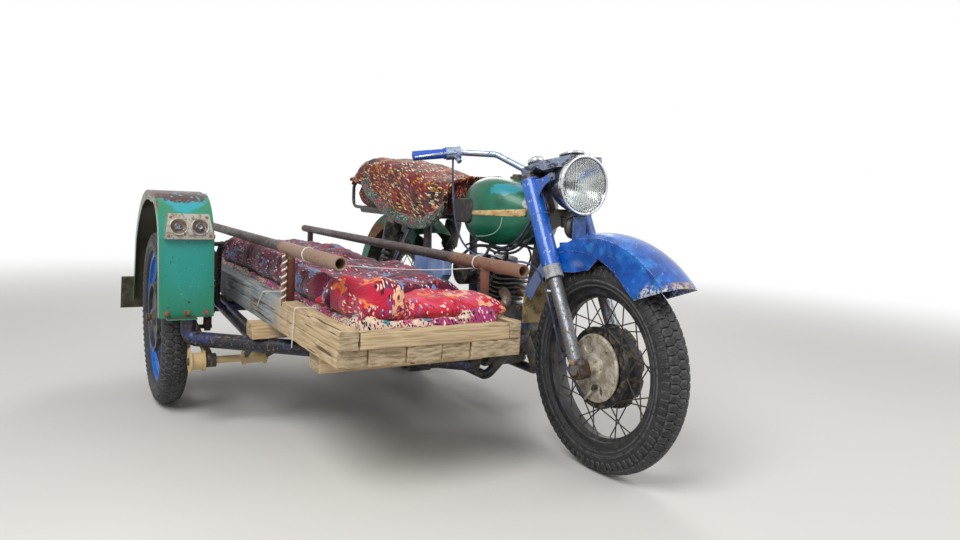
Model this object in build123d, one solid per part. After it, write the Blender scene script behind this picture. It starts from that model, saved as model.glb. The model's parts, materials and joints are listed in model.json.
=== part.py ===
"""Two-stroke motorcycle with a right-hand sidecar chassis that carries a wooden load bed.

Modelling frame, millimetres: X forward, Y to the rider's left, Z up, with the zero on the
ground under the rear axle. Every piece is moved by one shift at the end, so that the part's
own zero lies on the ground under the middle of its bounding box.
"""
from build123d import *

import math
import os

# Driving dimensions
WHEELBASE = 1400.0
TRACK = 1077.0  # rear wheel plane to sidecar wheel plane
SIDECAR_LEAD = 160.0  # sidecar axle ahead of the rear axle
AXLE_Z = 322.5  # height of all three axles in the drawing
STEER_RAKE = 28.0  # degrees back from upright
LEG_SPREAD = 180.0  # fork leg centre to centre
LEG_OFFSET = 55.0  # fork legs ahead of the steering axis
AXLE_OFFSET = 15.0  # front axle ahead of the leg centres

# Fits between pieces
SEAT_GAP = 0.3  # curved or resting faces that touch
PIN_GAP = 0.05  # radial gap of a pin, stem or axle in its bore
TURN_GAP = 5.0  # between a piece that turns and one that does not
PLANK_GAP = 2.0

# Tyre, rim, hub and spokes, one size for all three wheels
TYRE_R = 322.5
TYRE_W = 95.0
SHOULDER_DROP = 15.0
RIM_R = 242.5
RIM_W = 60.0
RIM_WELL_R = 218.0
RIM_WALL = 4.0
BEAD_R = 229.0
HUB_R = 108.0
NEAR_FLANGE_R = 125.0
HUB_FLANGE_R = 130.0
HUB_W = 71.0
HUB_MOUTH_Y = -29.0  # drum mouth, on the brake side of the wheel plane
HUB_BORE_WALL = 16.0
FLANGE_T = 12.0
FLANGE_SCALLOPS = 9
SCALLOP_R = 20.0
SPOKES = 36
SPOKE_D = 4.0
SPOKE_CIRCLE_R = 119.0
SPOKE_LEAN = 34.0  # degrees that a spoke leans along the hub circle
AXLE_D = 20.0
BRAKE_PLATE_R = 104.0
BRAKE_PLATE_T = 8.0

# Front fork, heights s measured up the steering axis from the foot of the axle
SLIDER_D = 43.0
SLIDER_BOTTOM = 24.0
SLIDER_TOP = 300.0
COLLAR_D = 57.0
COLLAR_TOP = 337.0
SHROUD_D = 60.0
YOKE_LOW = 503.0
YOKE_T = 24.0
YOKE_TOP = 641.0
TOP_YOKE_T = 14.0
YOKE_BOSS_R = 26.0
STEM_D = 30.0
HEAD_TUBE_D = 54.0
CLAMP_W = 38.0
CLAMP_H = 54.0

# Lamp, instrument cover and handlebar
LAMP_X = WHEELBASE - 142.0
LAMP_Z = AXLE_Z + 550.5
LAMP_R = 96.0
LENS_R = 86.0
LENS_DOME = 13.0
LAMP_DEPTH = 128.0
BAR_D = 22.0
BAR_RISER_D = 30.0
GRIP_D = 33.0
GRIP_LENGTH = 112.0
CABLE_D = 7.0

# Front mudguard
GUARD_R = 410.0
GUARD_HALF_W = 65.0
GUARD_CROWN = 17.0  # rise of the rolled crown over the skirts
SHEET = 2.5

# Motorcycle frame
BACKBONE_D = 40.0
DOWN_TUBE_D = 38.0
CRADLE_D = 34.0
CRADLE_Y = 110.0
CRADLE_Z = 185.0
RAIL_Z = 737.0
PIVOT_X = 420.0
PIVOT_Z = 350.0

DOWN_TUBE_FOOT = (968.0, 0.0, 335.0)
REAR_CROSS_X = 400.0
RAIL_END_X = -300.0
PIVOT_BOLT_D = 16.0
PEG_X = 600.0
PEG_Z = 156.0
PEG_END_Y = 272.0
CASE_BOTTOM = CRADLE_Z + CRADLE_D / 2 + SEAT_GAP
TUNNEL_HALF = 26.0
RACK_D = 16.0
RACK_FRONT_X = 50.0
RACK_REAR_X = -372.0
REAR_GUARD_R = 425.0
REAR_GUARD_HALF_W = 85.0
REAR_SKIRT = 80.0
ARM_Y = 101.0
ARM_IN_Y = 84.0
ARM_OUT_Y = 118.0
SHOCK_Y = 150.0
SHOCK_STUD_Y = 170.0
SHOCK_STUD_D = 16.0
SHOCK_FOOT = (40.0, 338.0)
SHOCK_TOP = (165.0, 737.0)
MUFFLER_Y = 200.0
CHAIN_Y = 68.0
CHAIN_CASE_HALF = 9.0
STAND_X = 550.0
STAND_Z = 190.0
STAND_Y = 145.0
STAND_CLEAR = 10.0  # over the ground when folded down
STAND_STUD_Y = 156.0
STAND_PIN_D = 12.0

# Sidecar chassis
SC_TUBE_D = 50.0
SC_TUBE_Z = 310.0
SC_WHEEL_Y = -TRACK
SC_SIDE_Y = SC_WHEEL_Y + 227.0
SC_INNER_Y = SC_WHEEL_Y + 747.0
SC_REAR_X = -120.0
SC_NOSE_X = 1170.0
SC_PIVOT_X = 565.0
SC_PIVOT_Z = 238.0
SC_OUTER_BARREL_Y = SC_WHEEL_Y + 45.0
SC_INNER_BARREL_Y = SC_SIDE_Y + 5.0
SC_ARM_Y = SC_WHEEL_Y + 89.0
SC_TOWER_Y = SC_WHEEL_Y + 179.0
SC_SHOCK_Y = SC_WHEEL_Y + 137.0
SC_LINK_X = 1090.0
SC_STUB_X = 530.0
SC_STUB_Y = SC_WHEEL_Y + 25.0
SC_SIDE_JOINT_X = 640.0
SC_SIDE_REAR_Z = 355.0
SC_TOWER_X = 190.0
SC_SHAFT_D = 24.0
SC_SHOCK_FOOT = (240.0, SC_SHOCK_Y, 292.0)
SC_SHOCK_TOP = (292.0, SC_SHOCK_Y, 606.0)
GUARD_OUTER = TRACK + 63.0
GUARD_INNER = TRACK - 109.0
GUARD_MIDDLE_Y = -(GUARD_OUTER + GUARD_INNER) / 2
GUARD_LIP = 34.0
GUARD_FLANGE_Z = 376.0
SC_GUARD_BACK = ((-212.0, 590.0), (-330.0, 310.0))  # straight rear wall of the guard, X and Z

# Load bed
BED_FRONT_X = 1400.0
BED_REAR_X = -500.0
BED_RIGHT_Y = SC_WHEEL_Y + 227.0
BEARER_T = 50.0
FLOOR_T = 47.0
BORDER_H = 50.0
BEAM_RIGHT_W = 54.0
BEAM_LEFT_W = 37.0
FRONT_BOARD_T = 34.0
PLANK_WIDTHS = (82.0, 102.0, 99.0, 86.0, 157.0)
PLANK_TRIMS = (16.0, 10.0, 4.0, 7.0, 0.0)  # how far each plank end stops short
RAIL_D = 40.0
RAIL_SLEEVE_D = 45.0
RAIL_WALL = 3.0
RIGHT_RAIL_CLEAR = 136.0  # bed border top to underside of the rail
LEFT_RAIL_CLEAR = 122.0
RAIL_POST_D = 28.0
RAIL_BORE_DEPTH = 160.0
# Rear end, front end and start of the sleeve pipe, then the posts, from the bed's front edge
RIGHT_RAIL = (BED_FRONT_X - 1900, BED_FRONT_X - 82, BED_FRONT_X - 612, (BED_FRONT_X - 1800, BED_FRONT_X - 512))
LEFT_RAIL = (BED_FRONT_X - 1925, BED_FRONT_X + 24, BED_FRONT_X - 378, (BED_FRONT_X - 1830, BED_FRONT_X - 177))
RIGHT_RAIL_Y = BED_RIGHT_Y + 30.0
BEARERS = (
    # x, width, how far it sticks out past the right edge
    (1180.0, 90.0, -10.0),
    (700.0, 80.0, 46.0),
    (-120.0, 100.0, -40.0),
)

# Heights that follow from the stack of bearers, floor and border
BEARER_BOTTOM = SC_TUBE_Z + SC_TUBE_D / 2 + SEAT_GAP
FLOOR_BOTTOM = BEARER_BOTTOM + BEARER_T
FLOOR_TOP = FLOOR_BOTTOM + FLOOR_T
BORDER_TOP = FLOOR_TOP + BORDER_H
BED_W = sum(PLANK_WIDTHS) + PLANK_GAP * (len(PLANK_WIDTHS) - 1)
BED_LEFT_Y = BED_RIGHT_Y + BED_W
LEFT_RAIL_Y = BED_LEFT_Y - BEAM_LEFT_W / 2

GROUND_Z = AXLE_Z - TYRE_R
STAND_LEG = STAND_Z - STAND_CLEAR - GROUND_Z
FRONT_AXLE = Vector(WHEELBASE, 0, AXLE_Z)
REAR_AXLE = Vector(0, 0, AXLE_Z)
SIDECAR_AXLE = Vector(SIDECAR_LEAD, -TRACK, AXLE_Z)
SIDES = (("right", -1), ("left", 1))

rake = math.radians(STEER_RAKE)
FORK_UP = Vector(-math.sin(rake), 0, math.cos(rake))
FORK_FORWARD = Vector(math.cos(rake), 0, math.sin(rake))
FORK_FOOT = FRONT_AXLE - FORK_FORWARD * (LEG_OFFSET + AXLE_OFFSET)
FORK = Plane(origin=FORK_FOOT, x_dir=FORK_FORWARD, z_dir=FORK_UP)

BOTTOM = (Align.CENTER, Align.CENTER, Align.MIN)


def rod(start, end, diameter):
    """Straight round bar between two points."""
    start, end = Vector(*start), Vector(*end)
    run = end - start
    return Plane(origin=start, z_dir=run) * Cylinder(diameter / 2, run.length, align=BOTTOM)


def bent_rod(points, diameter, bend):
    """Round bar along straight runs joined by arcs of one bend radius or a list of them."""
    path = FilletPolyline(*points, radius=bend)
    section = Plane(origin=path @ 0, z_dir=path % 0) * Circle(diameter / 2)
    return sweep(section, path=path)


def cross_rod(x, y_from, y_to, z, diameter):
    """Round bar along Y."""
    return rod((x, y_from, z), (x, y_to, z), diameter)


def box_between(low, high):
    """Box from its lowest corner to its highest corner."""
    size = [b - a for a, b in zip(low, high)]
    return Pos(*low) * Box(*size, align=(Align.MIN, Align.MIN, Align.MIN))


def mirrored(shape):
    """The same piece on the other side of the wheel plane y = 0."""
    return mirror(shape, about=Plane.XZ)


def side_profile(face, y_low, y_high):
    """Extrude a face drawn in X and Z from y_low to y_high."""
    return Pos(0, y_high, 0) * extrude(Plane.XZ * face, amount=y_high - y_low)


def polygon(points):
    """Flat face from corner points."""
    return make_face(Polyline(*points, close=True))


# Wheels, built once round the Y axis and placed three times


def tyre():
    """Solid tyre out to the tread, seated between the rim flanges."""
    half = TYRE_W / 2
    bead_half = RIM_W / 2 - RIM_WALL - SEAT_GAP
    flange_r = RIM_R + 1.5
    flank_r = (flange_r + TYRE_R) / 2 - 2
    bulge = half - bead_half
    flank_curve = ((flank_r - flange_r) ** 2 + bulge**2) / (2 * bulge)
    shoulder_r = TYRE_R - SHOULDER_DROP
    shoulder_y = half - flank_curve + math.sqrt(flank_curve**2 - (shoulder_r - flank_r) ** 2)
    outline = [
        Line((BEAD_R, -bead_half), (BEAD_R, bead_half)),
        Line((BEAD_R, bead_half), (flange_r, bead_half)),
        ThreePointArc((flange_r, bead_half), (flank_r, half), (shoulder_r, shoulder_y)),
        ThreePointArc((shoulder_r, shoulder_y), (TYRE_R, 0), (shoulder_r, -shoulder_y)),
        ThreePointArc((shoulder_r, -shoulder_y), (flank_r, -half), (flange_r, -bead_half)),
        Line((flange_r, -bead_half), (BEAD_R, -bead_half)),
    ]
    return revolve(make_face(outline), Axis.Y)


def rim():
    """Rolled steel rim: two flanges, bead seats and a well."""
    half = RIM_W / 2
    seat_r = BEAD_R - SEAT_GAP
    outer = [
        (RIM_R, half),
        (RIM_R, half - RIM_WALL),
        (seat_r, half - RIM_WALL),
        (seat_r, half - 13),
        (RIM_WELL_R, half - 20),
    ]
    inner = [
        (seat_r - RIM_WALL, half),
        (seat_r - RIM_WALL, half - 11),
        (RIM_WELL_R - RIM_WALL, half - 20),
    ]
    upper = inner[::-1] + outer
    lower = [(r, -y) for r, y in upper[::-1]]
    return revolve(polygon(upper + lower), Axis.Y)


def hub_body():
    """Cast drum hub: drum, cone to the scalloped far flange and a bored core."""
    far = HUB_MOUTH_Y + HUB_W
    bore = AXLE_D / 2 + PIN_GAP
    outline = [
        (bore, HUB_MOUTH_Y + 20),
        (bore, far + 4),
        (bore + HUB_BORE_WALL, far + 4),
        (bore + HUB_BORE_WALL + 12, far - 8),
        (HUB_FLANGE_R - 14, far - FLANGE_T),
        (HUB_FLANGE_R - 14, far),
        (HUB_FLANGE_R, far),
        (HUB_FLANGE_R, far - FLANGE_T),
        (HUB_R + 6, far - FLANGE_T - 10),
        (HUB_R, far - FLANGE_T - 26),
        (HUB_R, HUB_MOUTH_Y + 8),
        (NEAR_FLANGE_R, HUB_MOUTH_Y + 8),
        (NEAR_FLANGE_R, HUB_MOUTH_Y),
        (HUB_R - 8, HUB_MOUTH_Y),
        (HUB_R - 8, HUB_MOUTH_Y + 20),
    ]
    body = revolve(polygon(outline), Axis.Y)
    notch = Pos(0, far + 1, 0) * Rot(90, 0, 0) * Cylinder(SCALLOP_R, FLANGE_T + 2, align=BOTTOM)
    step = 360 / FLANGE_SCALLOPS
    reach = HUB_FLANGE_R + SCALLOP_R * 0.55
    for index in range(FLANGE_SCALLOPS):
        body -= Rot(0, index * step, 0) * Pos(reach, 0, 0) * notch
    return body


def spokes():
    """Crossed spokes from both hub flanges to the rim, two leaning each way in turn."""
    far = HUB_MOUTH_Y + HUB_W
    near_y, far_y = HUB_MOUTH_Y + 4, far - FLANGE_T / 2
    pitch = 360 / SPOKES
    rim_r = RIM_WELL_R - RIM_WALL / 2
    bars = []
    for index in range(SPOKES):
        hub_y = near_y if index % 2 else far_y
        lean = SPOKE_LEAN if index % 4 < 2 else -SPOKE_LEAN
        rim_angle = math.radians(index * pitch)
        hub_angle = rim_angle + math.radians(lean)
        start = (SPOKE_CIRCLE_R * math.cos(hub_angle), hub_y, SPOKE_CIRCLE_R * math.sin(hub_angle))
        end = (rim_r * math.cos(rim_angle), hub_y * 0.2, rim_r * math.sin(rim_angle))
        bars.append(rod(start, end, SPOKE_D))
    return bars


def spoked_wheel():
    """Rim, hub and spokes laced into one piece."""
    return rim() + hub_body() + spokes()


def brake_plate(clamp_y):
    """Domed drum cover with its boss, which fills the axle up to the leg or arm at clamp_y."""
    outer = HUB_MOUTH_Y - TURN_GAP - BRAKE_PLATE_T
    inner = HUB_MOUTH_Y - TURN_GAP
    bore = AXLE_D / 2 + PIN_GAP
    outline = [
        (bore, inner),
        (BRAKE_PLATE_R, inner),
        (BRAKE_PLATE_R, inner - 4),
        (BRAKE_PLATE_R - 7, outer),
        (46, outer),
        (34, outer - 7),
        (bore + 12, outer - 9),
        (bore + 12, clamp_y),
        (bore, clamp_y),
    ]
    plate = revolve(polygon(outline), Axis.Y)
    hollow = Rot(0, -112, 0) * Pos(72, outer + 4, 0) * Rot(90, 0, 0) * Cylinder(26, 10, align=BOTTOM)
    sight_hole = Rot(0, -45, 0) * Pos(78, outer + 5, 0) * Rot(90, 0, 0) * Cylinder(7, 12, align=BOTTOM)
    pivot = Pos(20, outer + 4, -52) * Rot(90, 0, 0) * Cylinder(9, 19, align=BOTTOM)
    lever = rod((20, outer - 10, -52), (-16, outer - 12, -98), 9)
    return plate - hollow - sight_hole + pivot + lever


# Front fork, in fork coordinates: a forward, y left, s up the steering axis


def leg_posts(diameter, low, high):
    """A round post on each fork leg."""
    posts = [
        Pos(LEG_OFFSET, side * LEG_SPREAD / 2, low) * Cylinder(diameter / 2, high - low, align=BOTTOM)
        for name, side in SIDES
    ]
    return posts


def fork_sliders():
    """Lower legs with axle clamps at the foot and the pale collar at the top."""
    legs = []
    for post, collar in zip(
        leg_posts(SLIDER_D, SLIDER_BOTTOM, SLIDER_TOP), leg_posts(COLLAR_D, SLIDER_TOP, COLLAR_TOP)
    ):
        legs.append(post + collar)
    clamp = Pos(LEG_OFFSET + AXLE_OFFSET / 2, 0, 0) * Box(CLAMP_W + AXLE_OFFSET, CLAMP_W, CLAMP_H)
    clamp = fillet(clamp.edges().filter_by(Axis.Y), 14)
    bore = Rot(90, 0, 0) * Cylinder(AXLE_D / 2 + PIN_GAP, CLAMP_W + 10)
    clamp -= Pos(LEG_OFFSET + AXLE_OFFSET, 0, 0) * bore
    for index, (name, side) in enumerate(SIDES):
        legs[index] += Pos(0, side * LEG_SPREAD / 2, 0) * clamp
    return FORK * Compound(children=legs)


def lamp_point(x, z):
    """Fork coordinates of a point given in X and Z."""
    spot = FORK.to_local_coords(Vector(x, 0, z))
    return spot.X, spot.Z


EAR_BOLT_X = LAMP_X - 45.0
EAR_BOLT_Z = LAMP_Z + 24.0


def fork_shrouds():
    """Tubular covers of both legs, split at the lower yoke, with the lamp ears."""
    bolt_a, bolt_s = lamp_point(EAR_BOLT_X, EAR_BOLT_Z)
    front = LEG_OFFSET + SHROUD_D / 2
    ear = make_face(
        [
            Line((front - 12, YOKE_LOW + 44), (front - 12, YOKE_TOP - 4)),
            ThreePointArc(
                (front - 12, YOKE_TOP - 4), (front + 24, YOKE_TOP - 22), (bolt_a - 8, bolt_s + 15)
            ),
            Line((bolt_a - 8, bolt_s + 15), (bolt_a + 14, bolt_s + 3)),
            Line((bolt_a + 14, bolt_s + 3), (bolt_a + 6, bolt_s - 15)),
            ThreePointArc(
                (bolt_a + 6, bolt_s - 15), (front + 24, YOKE_LOW + 76), (front - 12, YOKE_LOW + 44)
            ),
        ]
    )
    pieces = []
    for lower, upper, (name, side) in zip(
        leg_posts(SHROUD_D, COLLAR_TOP, YOKE_LOW + YOKE_T / 2 - 1),
        leg_posts(SHROUD_D, YOKE_LOW + YOKE_T / 2, YOKE_TOP),
        SIDES,
    ):
        ear_y = side * (LEG_SPREAD / 2 + 7)
        plate = side_profile(ear, ear_y - 2, ear_y + 2)
        pieces.append(lower)
        pieces.append(upper + plate)
    return FORK * Compound(children=pieces)


def yoke_plan(reach, boss_r):
    """Plan of a yoke: a boss round the stem and arms forward to the legs."""
    arms = [(0, -boss_r + 1), (LEG_OFFSET - 28, -reach), (LEG_OFFSET + 28, -reach)]
    arms += [(a, -y) for a, y in arms[::-1]]
    return polygon(arms) + Circle(boss_r)


def steering_stem():
    """Stem with a lower yoke between the legs and a top yoke over them."""
    stem = Pos(0, 0, YOKE_LOW) * Cylinder(STEM_D / 2, YOKE_TOP - YOKE_LOW + 4, align=BOTTOM)
    low_plate = Pos(0, 0, YOKE_LOW) * extrude(yoke_plan(LEG_SPREAD / 2 - 22, YOKE_BOSS_R), amount=YOKE_T)
    for post in leg_posts(SHROUD_D + 2 * SEAT_GAP, YOKE_LOW - 5, YOKE_LOW + YOKE_T + 5):
        low_plate -= post
    top_plate = Pos(0, 0, YOKE_TOP) * extrude(
        yoke_plan(LEG_SPREAD / 2, YOKE_BOSS_R), amount=TOP_YOKE_T
    )
    for name, side in SIDES:
        top_plate += Pos(LEG_OFFSET, side * LEG_SPREAD / 2, YOKE_TOP) * Cylinder(
            SHROUD_D / 2 - 2, TOP_YOKE_T, align=BOTTOM
        )
    return FORK * (stem + low_plate + top_plate)


BAR_POINTS = (
    (LAMP_X - 212.0, 0.0, LAMP_Z + 43.0),
    (LAMP_X - 212.0, 78.0, LAMP_Z + 43.0),
    (LAMP_X - 308.0, 140.0, LAMP_Z + 95.0),
    (LAMP_X - 378.0, 240.0, LAMP_Z + 97.0),
)
BAR_END = (LAMP_X - 437.0, 392.0, LAMP_Z + 76.0)


def handlebar():
    """One bent tube, its two risers on the top yoke and the lever housings."""
    inner = Vector(*BAR_POINTS[-1])
    outer = Vector(*BAR_END)
    along = (outer - inner).normalized()
    bar_end = outer - along * 2
    points = list(BAR_POINTS) + [tuple(bar_end)]
    half = bent_rod(points, BAR_D, [34, 40, 60])
    bar = half + mirrored(half)
    top = FORK.to_local_coords(Vector(*BAR_POINTS[0]))
    for name, side in SIDES:
        riser = Pos(top.X, side * 44, YOKE_TOP + TOP_YOKE_T) * Cylinder(
            BAR_RISER_D / 2, top.Z - YOKE_TOP - TOP_YOKE_T, align=BOTTOM
        )
        bar += FORK * riser
    housing_at = outer - along * (GRIP_LENGTH + 26)
    frame = Plane(origin=housing_at, z_dir=along)
    housing = frame * Cylinder(23, 50)
    stub = rod(tuple(housing_at), tuple(housing_at + Vector(34, -8, -30)), 17)
    lever_root = housing_at + Vector(38, 4, 0)
    lever = bent_rod(
        [tuple(housing_at), tuple(lever_root), tuple(lever_root + along * 92 + Vector(22, 0, -2)),
         tuple(lever_root + along * 150 + Vector(14, 0, -6))],
        9,
        12,
    )
    side = housing + stub + lever
    return bar + side + mirrored(side)


def grip(side):
    """Ribbed rubber grip that covers the end of the bar."""
    inner, outer = Vector(*BAR_POINTS[-1]), Vector(*BAR_END)
    along = (outer - inner).normalized()
    root = outer - along * GRIP_LENGTH
    profile = [(BAR_D / 2 + SEAT_GAP / 3, 0), (GRIP_D / 2 + 3, 0), (GRIP_D / 2 + 3, 6), (GRIP_D / 2, 8)]
    profile += [(GRIP_D / 2, GRIP_LENGTH), (0, GRIP_LENGTH + 4), (0, GRIP_LENGTH - 1.5)]
    profile += [(BAR_D / 2 + SEAT_GAP / 3, GRIP_LENGTH - 1.5)]
    body = Plane(origin=root, z_dir=along) * Rot(90, 0, 0) * revolve(polygon(profile), Axis.Y)
    return body if side > 0 else mirrored(body)


def lamp_revolve(outline):
    """Revolve an outline of radius and depth behind the lens plane about the lamp's axis."""
    body = revolve(polygon(outline), Axis.Y)
    return Pos(LAMP_X, 0, LAMP_Z) * Rot(0, 0, 90) * body


def headlamp_shell():
    """Bowl with a rolled rim, an open seat for the lens and the side bosses."""
    outline = [
        (0, LAMP_DEPTH),
        (40, LAMP_DEPTH - 8),
        (70, LAMP_DEPTH - 40),
        (88, LAMP_DEPTH - 88),
        (92, 16),
        (LAMP_R, 14),
        (LAMP_R, 2),
        (LAMP_R - 4, -2),
        (LENS_R + SEAT_GAP, 0),
        (LENS_R + SEAT_GAP, 10),
        (0, 10),
    ]
    shell = lamp_revolve(outline)
    ear_inner = LEG_SPREAD / 2 + 5
    for name, side in SIDES:
        shell += cross_rod(EAR_BOLT_X, side * 70, side * ear_inner, EAR_BOLT_Z, 16)
    return shell


def headlamp_lens():
    """Domed glass in the lamp's rim."""
    dome_r = (LENS_R**2 + LENS_DOME**2) / (2 * LENS_DOME)
    edge_y = 1.0
    mid_y = edge_y - LENS_DOME + dome_r - math.sqrt(dome_r**2 - (LENS_R / 2) ** 2)
    face = make_face(
        [
            Line((0, 10 - SEAT_GAP), (LENS_R, 10 - SEAT_GAP)),
            Line((LENS_R, 10 - SEAT_GAP), (LENS_R, edge_y)),
            ThreePointArc((LENS_R, edge_y), (LENS_R / 2, mid_y), (0, edge_y - LENS_DOME)),
            Line((0, edge_y - LENS_DOME), (0, 10 - SEAT_GAP)),
        ]
    )
    return Pos(LAMP_X, 0, LAMP_Z) * Rot(0, 0, 90) * revolve(face, Axis.Y)


def nacelle():
    """Sheet cover over the top yoke that runs forward on to the lamp."""
    base = YOKE_TOP + TOP_YOKE_T + 5
    outline = [
        (-28, base),
        (-24, base + 36),
        (30, base + 40),
        (112, base + 16),
        (196, base - 10),
        (244, base - 26),
        (226, base - 56),
        (186, base - 38),
        (140, base - 26),
        (112, base),
    ]
    shape = side_profile(polygon(outline), -100, 100)
    plan = [(-28, 0), (-22, 40), (22, 92), (70, 100), (150, 98), (246, 62)]
    plan += [(a, -y) for a, y in plan[:0:-1]]
    shape &= Pos(0, 0, base - 90) * extrude(polygon(plan), amount=180)
    shape += Pos(20, 0, YOKE_TOP + TOP_YOKE_T) * Cylinder(14, 8, align=BOTTOM)
    cover = FORK * shape
    bar_way = bent_rod(BAR_POINTS[:3], BAR_D + 2 * SEAT_GAP, [34])
    cover -= bar_way
    cover -= mirrored(bar_way)
    top = FORK.to_local_coords(Vector(*BAR_POINTS[0]))
    for name, side in SIDES:
        cover -= FORK * Pos(top.X, side * 44, YOKE_TOP + TOP_YOKE_T) * Cylinder(
            BAR_RISER_D / 2 + SEAT_GAP, top.Z - YOKE_TOP - TOP_YOKE_T, align=BOTTOM
        )
    clear = SEAT_GAP
    cover -= lamp_revolve([(0, LAMP_DEPTH + clear), (40.4, LAMP_DEPTH - 7.6), (70.4, LAMP_DEPTH - 39.6),
                           (88.4, LAMP_DEPTH - 87.6), (92.4, 16.4), (LAMP_R + clear, 14.4),
                           (LAMP_R + clear, -20), (0, -20)])
    return cover


def cable_path(points):
    """Straight runs joined by arcs as large as each pair of runs allows."""
    corners = [Vector(*point) for point in points]
    runs = [after - before for before, after in zip(corners, corners[1:])]
    radii = []
    for before, after in zip(runs, runs[1:]):
        turn = math.radians(before.get_angle(after))
        radii.append(0.45 * min(before.length, after.length) / math.tan(turn / 2))
    print("smallest arc of the cable, mm:", round(min(radii)))
    return FilletPolyline(*corners, radius=radii)


def brake_cable(bar, plate):
    """Front brake cable: from the right lever housing, in a hanging bow, down behind the leg to the drum's lever."""
    housing_y = -abs(BAR_END[1] - 127.6)
    bow = [
        (LAMP_X - 387, housing_y, LAMP_Z + 79),
        (LAMP_X - 386, housing_y + 1, LAMP_Z + 14),
        (LAMP_X - 380, housing_y + 5, LAMP_Z - 73),
        (LAMP_X - 366, housing_y + 9, LAMP_Z - 148),
        (LAMP_X - 335, housing_y + 18, LAMP_Z - 207),
        (LAMP_X - 286, housing_y + 38, LAMP_Z - 245),
        (LAMP_X - 226, housing_y + 64, LAMP_Z - 263),
        (LAMP_X - 163, housing_y + 91, LAMP_Z - 258),
        (LAMP_X - 112, housing_y + 121, LAMP_Z - 250),
        (LAMP_X - 82, housing_y + 158, LAMP_Z - 270),
    ]
    leg_y = -LEG_SPREAD / 2
    x, z = FRONT_AXLE.X, FRONT_AXLE.Z
    down = [
        (x - 195, leg_y + 1, z + 212),
        (x - 160, leg_y + 2, z + 140),
        (x - 137, leg_y + 9, z + 70),
        (x - 116, leg_y + 20, z + 6),
        (x - 78, leg_y + 32, z - 49),
        (x - 22, leg_y + 36, z - 93),
    ]
    path = cable_path(bow + down)
    section = Plane(origin=path @ 0, z_dir=path % 0) * Circle(CABLE_D / 2)
    cable = sweep(section, path=path)
    print("cable length, mm:", round(path.length), "volume against section:",
          round(cable.volume / (path.length * math.pi * CABLE_D**2 / 4), 4))
    return cable - bar - plate


HORN_X = LAMP_X - 40.0
HORN_Z = LAMP_Z - 135.0
HORN_R = 38.0


def horn(yokes):
    """Round electric horn on a strap below the lower yoke."""
    face = polygon([(0, -16), (HORN_R - 6, -14), (HORN_R, -4), (HORN_R, 6), (22, 20), (0, 20)])
    body = Pos(HORN_X, 0, HORN_Z) * Rot(0, 0, 90) * revolve(face, Axis.Y)
    strap = box_between((HORN_X - 56, -9, HORN_Z - 4), (HORN_X - 18, 9, HORN_Z + 2))
    strap += box_between((HORN_X - 60, -9, HORN_Z - 4), (HORN_X - 54, 9, HORN_Z + 44))
    return body + strap - yokes


# Front wheel furniture


def front_axle():
    """Spindle through both axle clamps with its end nuts and the left spacer."""
    clamp_out = LEG_SPREAD / 2 + CLAMP_W / 2
    clamp_in = LEG_SPREAD / 2 - CLAMP_W / 2
    hub_end = HUB_MOUTH_Y + HUB_W + 4 + TURN_GAP
    x, z = FRONT_AXLE.X, FRONT_AXLE.Z
    axle = cross_rod(x, -clamp_out - 8, clamp_out + 8, z, AXLE_D)
    axle += cross_rod(x, clamp_out, clamp_out + 12, z, 31)
    axle += cross_rod(x, -clamp_out, -clamp_out - 12, z, 31)
    axle += cross_rod(x, hub_end, clamp_in, z, 36)
    return axle


def guard_section(radius, half, low_r):
    """Section of a mudguard in radius and width: rolled crown and two skirts."""
    crown = radius - GUARD_CROWN
    outer = ThreePointArc((crown, -half), (radius, 0), (crown, half))
    inner = ThreePointArc((crown, half - SHEET), (radius - SHEET, 0), (crown, -half + SHEET))
    return make_face(
        [
            outer,
            Line((crown, half), (low_r, half)),
            Line((low_r, half), (low_r, half - SHEET)),
            Line((low_r, half - SHEET), (crown, half - SHEET)),
            inner,
            Line((crown, -half + SHEET), (low_r, -half + SHEET)),
            Line((low_r, -half + SHEET), (low_r, -half)),
            Line((low_r, -half), (crown, -half)),
        ]
    )


def guard_core(radius, half):
    """Solid wheel-shaped body that fills a mudguard up to its crown of the given radius."""
    crown = radius - GUARD_CROWN
    face = make_face(
        [
            ThreePointArc((crown, -half), (radius, 0), (crown, half)),
            Polyline((crown, half), (0, half), (0, -half), (crown, -half)),
        ]
    )
    return revolve(face, Axis.Y)


def guard_arch(section, first, last):
    """Sweep a mudguard section round the wheel between two angles above straight ahead."""
    return Rot(0, -last, 0) * revolve(section, Axis.Y, revolution_arc=last - first)


GUARD_FRONT = 43.5
GUARD_REAR = 152.0
GUARD_DEEP_R = 292.0
LIP_CENTRE = (-80.0, 32.5)
LIP_R = 315.0
REAR_LIP_R = 348.0
LEG_LINE_X = -185.0


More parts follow.
